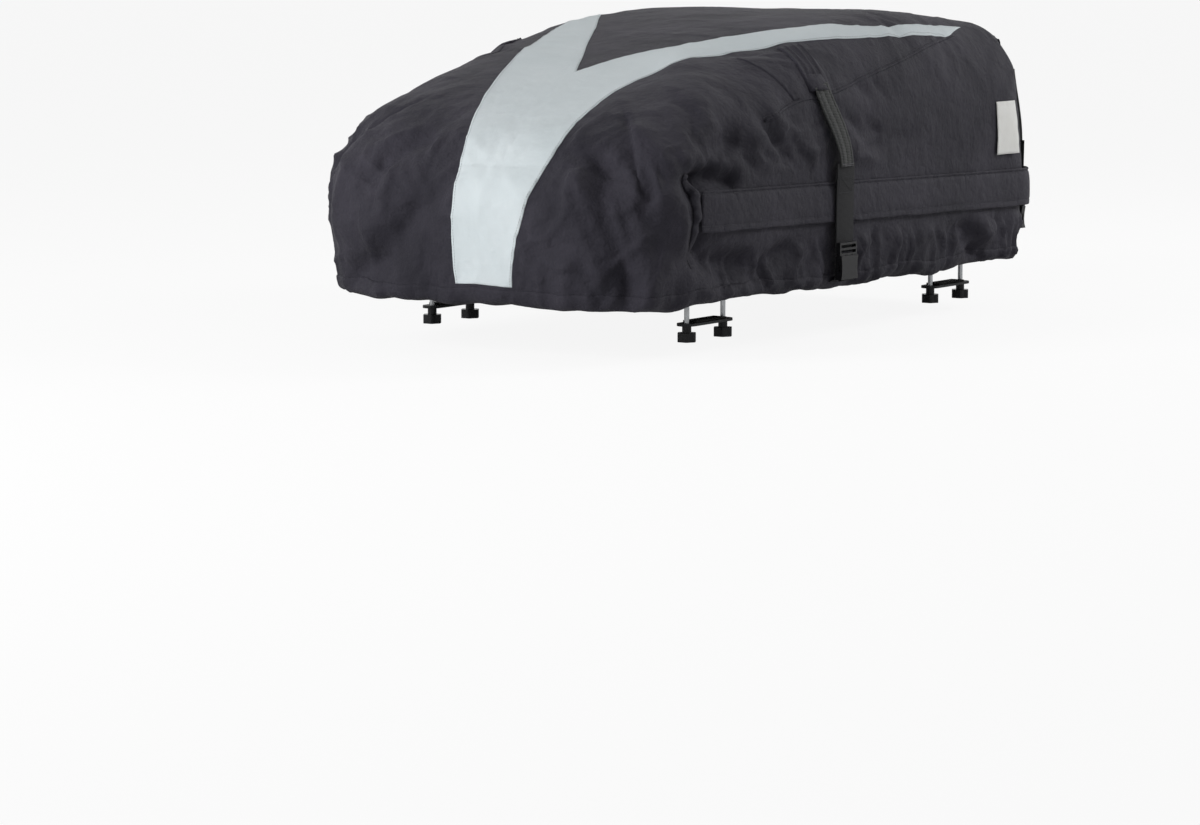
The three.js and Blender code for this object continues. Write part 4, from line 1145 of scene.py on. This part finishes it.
SHELL_CLOTH = cloth_finish(
    "shell_cloth", linear(37, 36, 43), linear(55, 53, 61), 1500.0, 0.6, 0.03, 0.1, 0.7)
STRIPE_CLOTH = cloth_finish(
    "stripe_cloth", linear(197, 206, 209), linear(207, 215, 218), 1500.0, 0.55, 0.05, 0.3, 0.2)
LABEL_CLOTH = cloth_finish(
    "label_cloth", linear(226, 226, 222), linear(240, 240, 237), 2400.0, 0.7, 0.05, 0.3, 0.1, 20.0)
# For the webbings, the darker colour is painted shade between the ribs and the lighter one is painted light
# on the rib crests.
WEBBING = webbing_finish("black_webbing", linear(15, 15, 17), linear(29, 29, 32), 560.0, 0.7)
SLEEVE = webbing_finish("sleeve_webbing", linear(54, 55, 55), linear(82, 83, 82), 420.0, 0.75)
PLASTIC = hard_finish("buckle_plastic", linear(20, 20, 22), linear(30, 30, 32), 0.3, 1400.0, 0.00012)
ZIP_PLASTIC = hard_finish("zip_plastic", linear(24, 24, 26), linear(34, 34, 36), 0.4, 1400.0, 0.0001)
ZINC = hard_finish(
    "zinc_plate", linear(150, 152, 154), linear(186, 188, 190), 0.32, 700.0, 0.00008, metal=1.0)
PAINTED = hard_finish("powder_coat", linear(30, 31, 33), linear(40, 41, 43), 0.45, 1100.0, 0.0002)
RUBBER = hard_finish("rubber", linear(24, 24, 24), linear(33, 33, 33), 0.85, 500.0, 0.0003)
THREAD = hard_finish("dark_thread", linear(58, 58, 62), linear(84, 83, 88), 0.6, 1500.0, 0.0001)
PALE_THREAD = hard_finish("pale_thread", linear(112, 112, 116), linear(140, 140, 146), 0.6, 1500.0, 0.0001)

# Carried-over parts by a word in their names: finish, and the radius of their rounded edge
HARD_PARTS = [
    ("buckle", PLASTIC, 0.7),
    ("knob", PLASTIC, 0.8),
    ("zip_slider", ZINC, 0.25),
    ("zip_pull", ZINC, 0.2),
    ("zip_chain", ZIP_PLASTIC, 0.0),
    ("bolt", ZINC, 0.3),
    ("clamp_plate", PAINTED, 0.7),
    ("clamp_grip", RUBBER, 0.6),
    ("bar_pad", RUBBER, 0.6),
]


# The cloth pieces of the bag

def stitching(name, rows, slot, thread=THREAD):
    """One piece's visible stitches, from their rows."""
    points, faces = merged(rows)
    return piece(name, points, faces, thread, slot=slot, mapped=False)


def bag_shell(shell):
    """The whole outer cloth."""
    points, quads = shell.points, shell.quads
    made = piece("bag_shell", points, quads, SHELL_CLOTH, stands_for=["bag_body"], slot="shell_cloth")


def way_of(rows):
    """How far up the nose and back along the roof each row of the cloth lies."""
    return rows[:, 7] - NOSE_Y + rows[:, 8] - BASE_Z


def stripe(shell):
    """The forked stripe, cut from the cloth's own surface in a left and a right half."""
    near = (shell.form[:, 2] > 20) & (shell.form[:, 1] < 800)
    picked = shell.triangles[near[shell.triangles].any(1)]
    halves = []
    for side, edge, fork in ((1, STRIPE_LEFT, STRIPE_LEFT_FORK), (-1, STRIPE_RIGHT, STRIPE_RIGHT_FORK)):
        outer, inner = spline(edge), spline(fork)
        rows, triangles = clipped(shell.rows, picked, side * (shell.rows[:, 6] - STRIPE_MIDDLE))
        rows, triangles = clipped(rows, triangles, side * (np.interp(way_of(rows), *outer) - rows[:, 6]))
        rows, triangles = clipped(rows, triangles, way_of(rows) - STRIPE_BOTTOM)
        tip = STRIPE_TIP - way_of(rows) - STRIPE_TIP_LEAN * (np.abs(rows[:, 6]) - STRIPE_TIP_X)
        rows, triangles = clipped(rows, triangles, tip)
        open_fork = side * (rows[:, 6] - np.interp(way_of(rows), *inner))
        halves.append(clipped(rows, triangles, open_fork))
    (rows, triangles), (more_rows, more) = halves
    joined = welded(np.concatenate([rows, more_rows]), np.concatenate([triangles, more + len(rows)]))
    points, faces = cloth_layer(*joined, 0.25, 0.9)
    piece("forked_stripe", points, faces, STRIPE_CLOTH, stands_for=["stripe"], slot="stripe_cloth")


def stripe_place(shell, way, x):
    """Where a place on the stripe meets the cloth, along a slanted line from above and ahead."""
    depth = NOSE_Y + way / 2
    start = (x, depth - 400.0, BASE_Z + way / 2 + 400.0)
    return shell.hit(start, (0, 1, -1))


def stripe_stitches(shell):
    """A stitch row just inside each long edge of the stripe."""
    rows = []
    for edge, inward in ((STRIPE_LEFT, -1), (STRIPE_RIGHT, 1)):
        places, ups = [], []
        for way, x in list(zip(*spline(edge, 400)))[6:]:
            if way > STRIPE_TIP - 10:
                break
            place, up = stripe_place(shell, way, x + 3.5 * inward)
            places.append(place + up * 1.3)
            ups.append(up)
        rows.append(stitch_row(np.array(places), np.array(ups), *STRIPE_STITCH))
    stitching("stripe_stitches", rows, "stripe_cloth", PALE_THREAD)


def wall_columns(front_y):
    """Places round the left side, the rear and the right side, from front to front."""
    across, along = int(2 * HALF_WIDTH / FLAP_STEP), int(2 * HALF_LENGTH / FLAP_STEP)
    up = np.linspace(-1, 1, along + 1)
    over = np.linspace(1, -1, across + 1)[1:-1]
    a = np.r_[np.ones(along + 1), over, -np.ones(along + 1)]
    b = np.r_[up, np.ones(across - 1), up[::-1]]
    form, _ = bag_form(a, b, np.zeros(len(a)))
    keep = form[:, 1] > front_y
    return a[keep], b[keep], form[keep]


class Wall:
    """The smooth wall behind the flap, for places on it by column and height."""

    def __init__(self, a, b):
        rows = np.linspace(-1, 1, 61)
        self.grid = np.stack([bag_form(a, b, np.full(len(a), c))[0] for c in rows], 1)
        self.corner = np.where(b < 0, NOSE_CORNER, REAR_CORNER)

    def places(self, heights):
        """Places at the heights given, one for each column, and the level outward directions."""
        each = np.arange(len(heights))
        z = self.grid[:, :, 2]
        top = (z > heights[:, None]).argmax(1)
        low, high = self.grid[each, top - 1], self.grid[each, top]
        t = (heights - z[each, top - 1]) / (z[each, top] - z[each, top - 1])
        places = low + t[:, None] * (high - low)
        x, y = places[:, 0], places[:, 1] - MIDDLE_Y
        in_x = np.maximum(0, np.abs(x) - (HALF_WIDTH - self.corner)) * np.sign(x)
        in_y = np.maximum(0, np.abs(y) - (HALF_LENGTH - self.corner)) * np.sign(y)
        return places, units(np.stack([in_x, in_y, np.zeros(len(each))], 1))


def weather_flap():
    """The flap over the zip: sewn along its top, hanging clear of the zip, with a turned hem."""
    a, b, form = wall_columns(FLAP_FRONT_Y)
    wall = Wall(a, b)
    top = flap_top(form[:, 1])
    slow = np.zeros((len(a), 3))
    slow[:, 0] = np.arange(len(a)) * FLAP_STEP
    by_pulls = (1 - smooth(185, 215, np.abs(form[:, 0]))) * (form[:, 1] > 800)
    swell = (1.1 * noise(slow, 120, 31) - 0.9) * (1 - by_pulls)
    ripple = 1.5 * noise(slow, 85, 32) + 0.8 * noise(slow, 33, 33)
    free = smooth(0, 90, form[:, 1] - FLAP_FRONT_Y)

    def hung(under, out, sewn):
        share = under / FLAP_HEIGHT
        places, level = wall.places(top - under - ripple * share**2)
        lift = np.clip(out + swell * share * 1.2, 0.5, FLAP_FACE)
        return places + level * (sewn + (lift - sewn) * free)[:, None], level

    rings = [hung(under, out, FLAP_SEWN_FACE)[0] for under, out in FLAP_OUTER]
    rings += [hung(under, out, FLAP_SEWN_BACK)[0] for under, out in FLAP_INNER]
    sections = np.stack(rings, 1)
    closed = facing_out(*swept(list(sections)))
    made = piece("zip_cover_flap", *closed, SHELL_CLOTH, stands_for=["weather_flap"], slot="shell_cloth")
    rows = [stitch_row(*hung(under, out, FLAP_SEWN_FACE), *FLAP_STITCH) for under, out in FLAP_SEAMS]
    stitches = stitching("flap_stitches", rows, "shell_cloth")


def base_binding(shell):
    """The tape that binds the base edge."""
    low, high = BASE_Z + BINDING_LOW, BASE_Z + BINDING_HIGH
    near = (shell.form[:, 2] > low - 8) & (shell.form[:, 2] < high + 8)
    picked = shell.triangles[near[shell.triangles].any(1)]
    rows, triangles = clipped(shell.rows, picked, shell.rows[:, 8] - low)
    rows, triangles = clipped(rows, triangles, high - rows[:, 8])
    points, faces = cloth_layer(rows, triangles, 0.15, 1.5)
    piece("base_binding", points, faces, SHELL_CLOTH, slot="shell_cloth")


def roof_patch(shell, name, side):
    """The patch under a side strap's sleeve."""
    rows, triangles = shell.rows, shell.triangles
    near = (side * rows[:, 6] > 190) & (rows[:, 7] > 80) & (rows[:, 7] < 245) & (rows[:, 8] > 270)
    triangles = triangles[near[triangles].any(1)]
    centre = PATCH_OUTLINE.mean(0)
    for start, end in zip(PATCH_OUTLINE, np.roll(PATCH_OUTLINE, -1, axis=0)):
        along = end - start
        across = np.array([-along[1], along[0]])
        across *= np.sign(across @ (centre - start))
        field = (side * rows[:, 6] - start[0]) * across[0] + (rows[:, 7] - start[1]) * across[1]
        rows, triangles = clipped(rows, triangles, field)
    rows, triangles = clipped(rows, triangles, rows[:, 8] - PATCH_FOOT)
    points, faces = cloth_layer(rows, triangles, 0.2, 1.0)
    patch = [name + "_roof_patch"]
    piece(name + "_sewn_patch", points, faces, SHELL_CLOTH, stands_for=patch, slot="shell_cloth")


# The straps and their sleeves

class Strap:
    """One strap's own frame: across it, out from the bag's widest line, and up."""

    def __init__(self, name, turn, at, lift):
        self.name, self.turn, self.at, self.lift = name, math.radians(turn), at, lift
        self.side = 1 if at[0] > 0 else -1
        self.ladder_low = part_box(name + "_buckle_ladder")[0].z / MM
        self.socket_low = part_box(name + "_buckle_socket")[0].z / MM

    def place(self, points):
        """Points of the strap's frame, in the part's."""
        across, out, up = np.asarray(points, float).T
        c, s = math.cos(self.turn), math.sin(self.turn)
        return np.stack([across * c - out * s + self.at[0], across * s + out * c + self.at[1], up], 1)

    def outward(self):
        return Vector((-math.sin(self.turn), math.cos(self.turn), 0))

    def outward_rows(self, count):
        return np.tile(self.outward(), (count, 1))

    def wall_out(self, shell, up, across=0.0):
        """How far out the cloth lies at a height behind the strap."""
        start = self.place([(across, 200.0, up)])[0]
        place, _ = shell.hit(start, -self.outward())
        return 200.0 - (Vector(start) - place).length


STRAPS = [
    Strap("left_side", -90, (HALF_WIDTH, SIDE_STRAP_Y), 0.0),
    Strap("right_side", 90, (-HALF_WIDTH, SIDE_STRAP_Y), 0.0),
    Strap("left_rear", 0, (REAR_STRAP_X, REAR_Y), REAR_LIFT),
    Strap("right_rear", 0, (-REAR_STRAP_X, REAR_Y), REAR_LIFT),
]


def web_section(width, thick):
    """Half-round edged section of webbing, as (across, through) points."""
    half, r = width / 2, thick / 2
    cut = r * 0.3
    right = [(half - r, 0), (half - cut, cut), (half, r), (half - cut, thick - cut), (half - r, thick)]
    left = [(-across, through) for across, through in reversed(right)]
    return [left[-1]] + right + left[:-1]


def web_strip(strap, line, width, thick):
    """Webbing along a falling line of (out, up) points in the strap's frame, on its outer side."""
    path = rounded_line([(0.0, out, up) for out, up in line])
    section = web_section(width, thick)
    rings = []
    for (_, out, up), (_, d_out, d_up) in zip(path, tangents(path)):
        ring = [(across, out - d_up * through, up + d_out * through) for across, through in section]
        rings.append(strap.place(ring))
    return facing_out(*swept(rings))


def upper_strap(strap):
    """The wide strap: out from under the sleeve's end, over the flap and behind the ladder's bars."""
    name, lift = strap.name, strap.lift
    line = [(STRAP_OUT + 1.6, SLEEVE_FOOT + 5), (STRAP_OUT + 1.2, 174.0), (STRAP_OUT + 0.2, 140.0)]
    line += [(STRAP_OUT + 0.1, 110.0 + lift / 2), (STRAP_OUT, 84.0 + lift), (STRAP_OUT, 56.0 + lift)]
    points, faces = web_strip(strap, line, STRAP_WIDTH, STRAP_THICK)
    piece(name + "_sewn_strap", points, faces, WEBBING, stands_for=[name + "_strap"], slot="webbing")
    outs, ups = zip(*line[::-1])
    rows = []
    for (x0, z0), (x1, z1) in zip(BOX_STITCH_LINE, BOX_STITCH_LINE[1:]):
        t = np.linspace(0, 1, 9)
        z = z0 + (z1 - z0) * t
        places = np.stack([x0 + (x1 - x0) * t, np.interp(z, ups, outs) + STRAP_THICK, z], 1)
        rows.append(stitch_row(strap.place(places), strap.outward_rows(9), *BOX_STITCH))
    stitching(name + "_box_stitch", rows, "webbing")


def ladder_loop(strap):
    """The turn of webbing over the ladder's middle bar. It moves with the ladder."""
    slot = (LADDER_HEIGHT - 3 * LADDER_BAR) / 2
    low = strap.ladder_low + LADDER_BAR + slot / 2
    high = strap.ladder_low + 2 * LADDER_BAR + 1.5 * slot
    back, front = LADDER_OUT, LADDER_OUT + LADDER_THICK + 0.2
    line = [(back, high + 0.9), (back + 2.0, high + 0.5), (front - 2.0, high + 0.1)]
    line += [(front, (low + high) / 2)]
    line += [(front - 2.0, low - 0.1), (back + 2.0, low - 0.5), (back, low - 0.9)]
    points, faces = web_strip(strap, line, STRAP_WIDTH - 10.0, 1.3)
    piece(strap.name + "_ladder_loop", points, faces, WEBBING, body=strap.name + "_buckle", slot="webbing")


def lower_webbing(shell, strap):
    """The narrow webbing from the base edge up behind the socket, and its turn round the socket's foot."""
    name = strap.name
    root = strap.wall_out(shell, 12.0)
    if strap.lift:
        out = strap.wall_out(shell, 26.0)
        line = [(root + 0.4, 10.0), (out + 1.0, 24.0), (max(out + 2.0, 6.5), 36.0), (7.4, 50.0), (7.4, 62.0)]
    else:
        line = [(root + 0.4, 9.0), (max(root + 1.5, 4.0), 14.0), (7.4, 20.0), (7.4, 33.0)]
    low = strap.socket_low
    loop = [(9.3, low + 12.0), (9.6, low - 1.4), (13.0, low - 2.6), (18.9, low - 1.0), (18.5, low + 4.0)]
    strips = [web_strip(strap, line, WEB_WIDTH, 1.6), web_strip(strap, loop, WEB_WIDTH - 6, 1.1)]
    points, faces = merged(strips)
    webbing = [name + "_lower_webbing"]
    piece(name + "_base_webbing", points, faces, WEBBING, stands_for=webbing, slot="webbing")


def sleeve_run(shell, strap):
    """The line of a sleeve's channel over the shoulder, on the cloth."""
    if strap.turn == 0:
        heights = np.linspace(CHANNEL_FOOT, 330, 5)
        over = [shell.hit((strap.at[0], REAR_Y + 200, z), (0, -1, 0))[0] for z in heights]
        ys = np.arange(REAR_Y - 52, REAR_Y - 70, -6)
        return over + [shell.hit((strap.at[0], y, 700), (0, 0, -1))[0] for y in ys]
    side = strap.side
    heights = np.linspace(CHANNEL_FOOT, 318, 5)
    ys = np.interp(heights, SLEEVE_LEAN_HEIGHTS, [SIDE_STRAP_Y, 192])
    over = [shell.hit((side * 600, y, z), (-side, 0, 0))[0] for y, z in zip(ys, heights)]
    xs = np.arange(300, 255, -7)
    ys = np.interp(xs, [255, 300], [206, 194])
    return over + [shell.hit((side * x, y, 700), (0, 0, -1))[0] for x, y in zip(xs, ys)]


def sleeve_hang(shell, strap):
    """The line of a sleeve's hanging end, from the channel's mouth down: across, out and up."""
    levels = np.linspace(CHANNEL_MOUTH, SLEEVE_FOOT, SLEEVE_ROWS)
    share = (CHANNEL_MOUTH - levels) / (CHANNEL_MOUTH - SLEEVE_FOOT)
    shift = 0 if strap.turn == 0 else SLEEVE_LEAN * strap.side
    across = shift * (1 - smooth(-0.15, 1, share))
    walls = np.array([strap.wall_out(shell, z, a) for z, a in zip(levels, across)])
    walls = np.array([max(walls[max(0, k - 2):k + 3]) for k in range(len(walls))])
    walls = np.convolve(np.pad(walls, 2, mode="edge"), np.ones(5) / 5, mode="valid")
    hang = smooth(-0.1, 1, share)
    outs = np.maximum(walls + 0.8, (walls + 0.8) * (1 - hang) + (STRAP_OUT + 3.9) * hang)
    return np.stack([across, outs, levels], 1)


def strap_sleeve(shell, strap):
    """The sleeve: a sewn channel over the shoulder, its open mouth, and the ribbed end that hangs down."""
    name = strap.name
    over = sleeve_run(shell, strap)
    open_mouth = 7.5 if strap.side > 0 else 2.0

    def mouth(share):
        reach = np.linspace(-1, 1, 9)
        arch = (2.6 + open_mouth * (1 - share)) * (1 - reach**2) ** 0.7
        ring = [(25 * r, h + 1.5) for r, h in zip(reach, arch)]
        return ring + [(23.5 * r, h + 0.4) for r, h in zip(reach[::-1], arch[::-1])]

    channel = shell_strip(shell, over, CHANNEL, 6.0)
    line = resampled(over, 4.0)
    lip = shell_strip(shell, line[:8], mouth, 4.0)
    hang = sleeve_hang(shell, strap)
    wider = 1.12 if strap.turn == 0 else 1.0
    section = [(wider * across, height) for across, height in HUNG_SLEEVE]
    hung = ribbon(strap.place(hang), np.array(strap.outward()), section)
    sleeve = [name + "_strap_sleeve"]
    piece(name + "_shoulder_sleeve", *hung, SLEEVE, stands_for=sleeve, slot="sleeve_webbing")
    piece(name + "_shoulder_channel", *merged([channel, lip]), SHELL_CLOTH, slot="sleeve_webbing")
    rows = [stitch_row(*shell.beside(line, *row), *SLEEVE_STITCH) for row in CHANNEL_ROWS]
    for offset in HUNG_ROWS:
        beside = strap.place(hang + (offset, 2.6, 0))
        rows.append(stitch_row(beside, strap.outward_rows(len(hang)), *SLEEVE_STITCH))
    stitching(name + "_sleeve_stitches", rows, "sleeve_webbing")
    bars = []
    for up in (SLEEVE_FOOT + 1.5, SLEEVE_FOOT + 4.0):
        ends = strap.place([(-16, STRAP_OUT + 6.5, up), (16, STRAP_OUT + 6.5, up)])
        bars.append(stitch_row(ends, strap.outward_rows(2), *TACK_STITCH))
    stitching(name + "_sleeve_bar_tack", bars, "sleeve_webbing", PALE_THREAD)


# The label, the seams and the flap's front ends

def blank_label(shell):
    """A blank label that hangs by its top edge and curls a little at its rear edge."""
    low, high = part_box("blank_label")
    across, up = LABEL_CELLS
    y = np.linspace(low.y / MM + 0.5, high.y / MM - 0.5, across + 1)
    z = np.linspace(low.z / MM + 0.5, high.z / MM - 0.5, up + 1)
    front, back = [], []
    for k in range(up + 1):
        for i in range(across + 1):
            place, _ = shell.hit((600, y[i], z[k]), (-1, 0, 0))
            hang = 1 - k / up
            off = 1.2 + 2.5 * hang + 4.5 * hang * (i / across) ** 2
            front.append((place.x + off + 0.6, y[i], z[k]))
            back.append((place.x + off, y[i], z[k]))
    width = across + 1
    count = width * (up + 1)
    faces = []
    for k in range(up):
        for i in range(across):
            a = k * width + i
            faces.append((a, a + 1, a + 1 + width, a + width))
            faces.append((count + a + width, count + a + width + 1, count + a + 1, count + a))
    rim = list(range(width)) + [width * k + across for k in range(1, up + 1)]
    rim += [width * up + i for i in range(across - 1, -1, -1)] + [width * k for k in range(up - 1, 0, -1)]
    faces += [(j, i, i + count, j + count) for i, j in zip(rim, rim[1:] + rim[:1])]
    points = front + back
    made = piece("plain_label", points, faces, LABEL_CLOTH, stands_for=["blank_label"], slot="label_cloth")


def seam(shell, name, path):
    """A turned seam that stands a little proud, with a stitch line beside it."""
    line = [shell.nearest(p)[0] for p in rounded_line(path)]
    points, faces = shell_strip(shell, line, SEAM_SECTION, 6.0)
    piece(name, points, faces, SHELL_CLOTH, slot="shell_cloth")
    row = stitch_row(*shell.beside(resampled(line, 4.0), 5.0, 0.15), *SEAM_STITCH)
    stitching(name + "_stitches", [row], "shell_cloth")


def gathered_edge(shell, name, side):
    """The gathered cloth that is sewn over the flap's front end."""
    path = [(side * x, y, z) for x, y, z in GATHERED_PATH]
    line = [shell.nearest(p)[0] for p in rounded_line(path)]
    turn = -side

    def section(share):
        wave = math.sin(share * 31.0) + 0.6 * math.sin(share * 53.0 + 1.0)
        full = 1.6 * (1.0 - share) + 0.1
        if share < 0.9:
            full = math.sin(math.pi * min(1.0, share * 1.15 + 0.06)) ** 0.5
        tall = (7.6 + 1.5 * wave) * full
        wide = 1 + 0.12 * math.sin(share * 44.0 + 0.5)
        ring = [(turn * across * wide, max(0.1, height * tall)) for across, height in GATHERED_SECTION]
        return ring if turn > 0 else ring[::-1]

    points, faces = shell_strip(shell, line, section, 4.0)
    piece(name + "_gathered_edge", points, faces, SHELL_CLOTH, slot="shell_cloth")
    row = stitch_row(*shell.beside(resampled(line, 4.0), turn * 12.0, 0.5), *SEAM_STITCH)
    stitching(name + "_gathered_edge_stitches", [row], "shell_cloth")


def finish_hard_parts():
    """Gives the carried-over hard parts their finish and a fine rounded edge."""
    for name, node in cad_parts.items():
        for word, material, radius in HARD_PARTS:
            if word not in name or node.hide_render:
                continue
            node.data.materials.clear()
            node.data.materials.append(material)
            if radius:
                edge = node.modifiers.new("edge", "BEVEL")
                edge.width = radius * MM
                edge.segments = 2
                edge.limit_method = "ANGLE"
                edge.angle_limit = math.radians(32)


# Room, light and camera

def white_where(n, seen, plain, white, kind):
    """Puts a white glow in place of a plain shader for the rays that are picked."""
    blend = n.add("ShaderNodeMixShader", {0: seen, 1: plain, 2: white})
    out = next(x for x in n.tree.nodes if x.type == kind)
    n.join(blend.outputs[0], out.inputs["Surface"])


def pale_floor():
    """A pale floor that looks near white but keeps the bag's shadow."""
    bpy.ops.mesh.primitive_plane_add(size=60, location=(0, 0, FLOOR_Z))
    floor = bpy.context.object
    floor.name = "floor"
    made, n, shader = finish("pale_floor")
    shader.inputs["Base Color"].default_value = (0.86, 0.86, 0.86, 1)
    shader.inputs["Roughness"].default_value = 0.9
    glow = n.add("ShaderNodeEmission", {"Color": (1, 1, 1, 1), "Strength": 1.0})
    seen = n.math("MULTIPLY", n.add("ShaderNodeLightPath").outputs["Is Camera Ray"], 0.9)
    white_where(n, seen, shader.outputs[0], glow.outputs[0], "OUTPUT_MATERIAL")
    floor.data.materials.append(made)


def pale_world():
    """A soft light from all round, seen and mirrored as white."""
    world = bpy.data.worlds.new("studio")
    bpy.context.scene.world = world
    world.use_nodes = True
    n = Nodes(world.node_tree)
    soft = world.node_tree.nodes["Background"]
    soft.inputs["Color"].default_value = (1, 1, 1, 1)
    soft.inputs["Strength"].default_value = WORLD_LIGHT
    white = n.add("ShaderNodeBackground", {"Color": (1, 1, 1, 1), "Strength": 1.0})
    rays = n.add("ShaderNodeLightPath").outputs
    seen = n.math("MAXIMUM", rays["Is Camera Ray"], rays["Is Glossy Ray"])
    white_where(n, seen, soft.outputs[0], white.outputs[0], "OUTPUT_WORLD")


def lamp(name, place, target, size, power):
    """A soft square lamp that looks at a target."""
    light = bpy.data.lights.new(name, "AREA")
    light.size = size
    light.energy = power
    made = bpy.data.objects.new(name, light)
    bpy.context.scene.collection.objects.link(made)
    made.location = place
    made.rotation_euler = (Vector(target) - Vector(place)).to_track_quat("-Z", "Y").to_euler()


def studio():
    """The pale room and its lamps."""
    pale_floor()
    pale_world()
    for values in LAMPS:
        lamp(*values)


def camera():
    """The camera at the photograph's viewing angle."""
    eye = bpy.data.cameras.new("camera")
    eye.lens = CAMERA_LENS
    eye.sensor_width = 36
    eye.sensor_fit = "HORIZONTAL"
    eye.clip_end = 200
    made = bpy.data.objects.new("camera", eye)
    bpy.context.scene.collection.objects.link(made)
    made.location = CAMERA_PLACE
    made.rotation_euler = (math.radians(90 - CAMERA_DOWN), 0, math.radians(CAMERA_TURN))
    bpy.context.scene.camera = made


def build():
    """Makes every piece of the bag and dresses the hard parts."""
    shell = Shell()
    bag_shell(shell)
    stripe(shell)
    stripe_stitches(shell)
    weather_flap()
    base_binding(shell)
    for name, side in (("left", 1), ("right", -1)):
        roof_patch(shell, name, side)
    for strap in STRAPS:
        strap_sleeve(shell, strap)
        upper_strap(strap)
        ladder_loop(strap)
        lower_webbing(shell, strap)
    blank_label(shell)
    seam(shell, "left_side_seam", SIDE_SEAM)
    seam(shell, "right_side_seam", mirrored(SIDE_SEAM))
    gathered_edge(shell, "left_flap", 1)
    gathered_edge(shell, "right_flap", -1)
    finish_hard_parts()


camera()
studio()
build()
bpy.context.scene.view_settings.view_transform = "Standard"
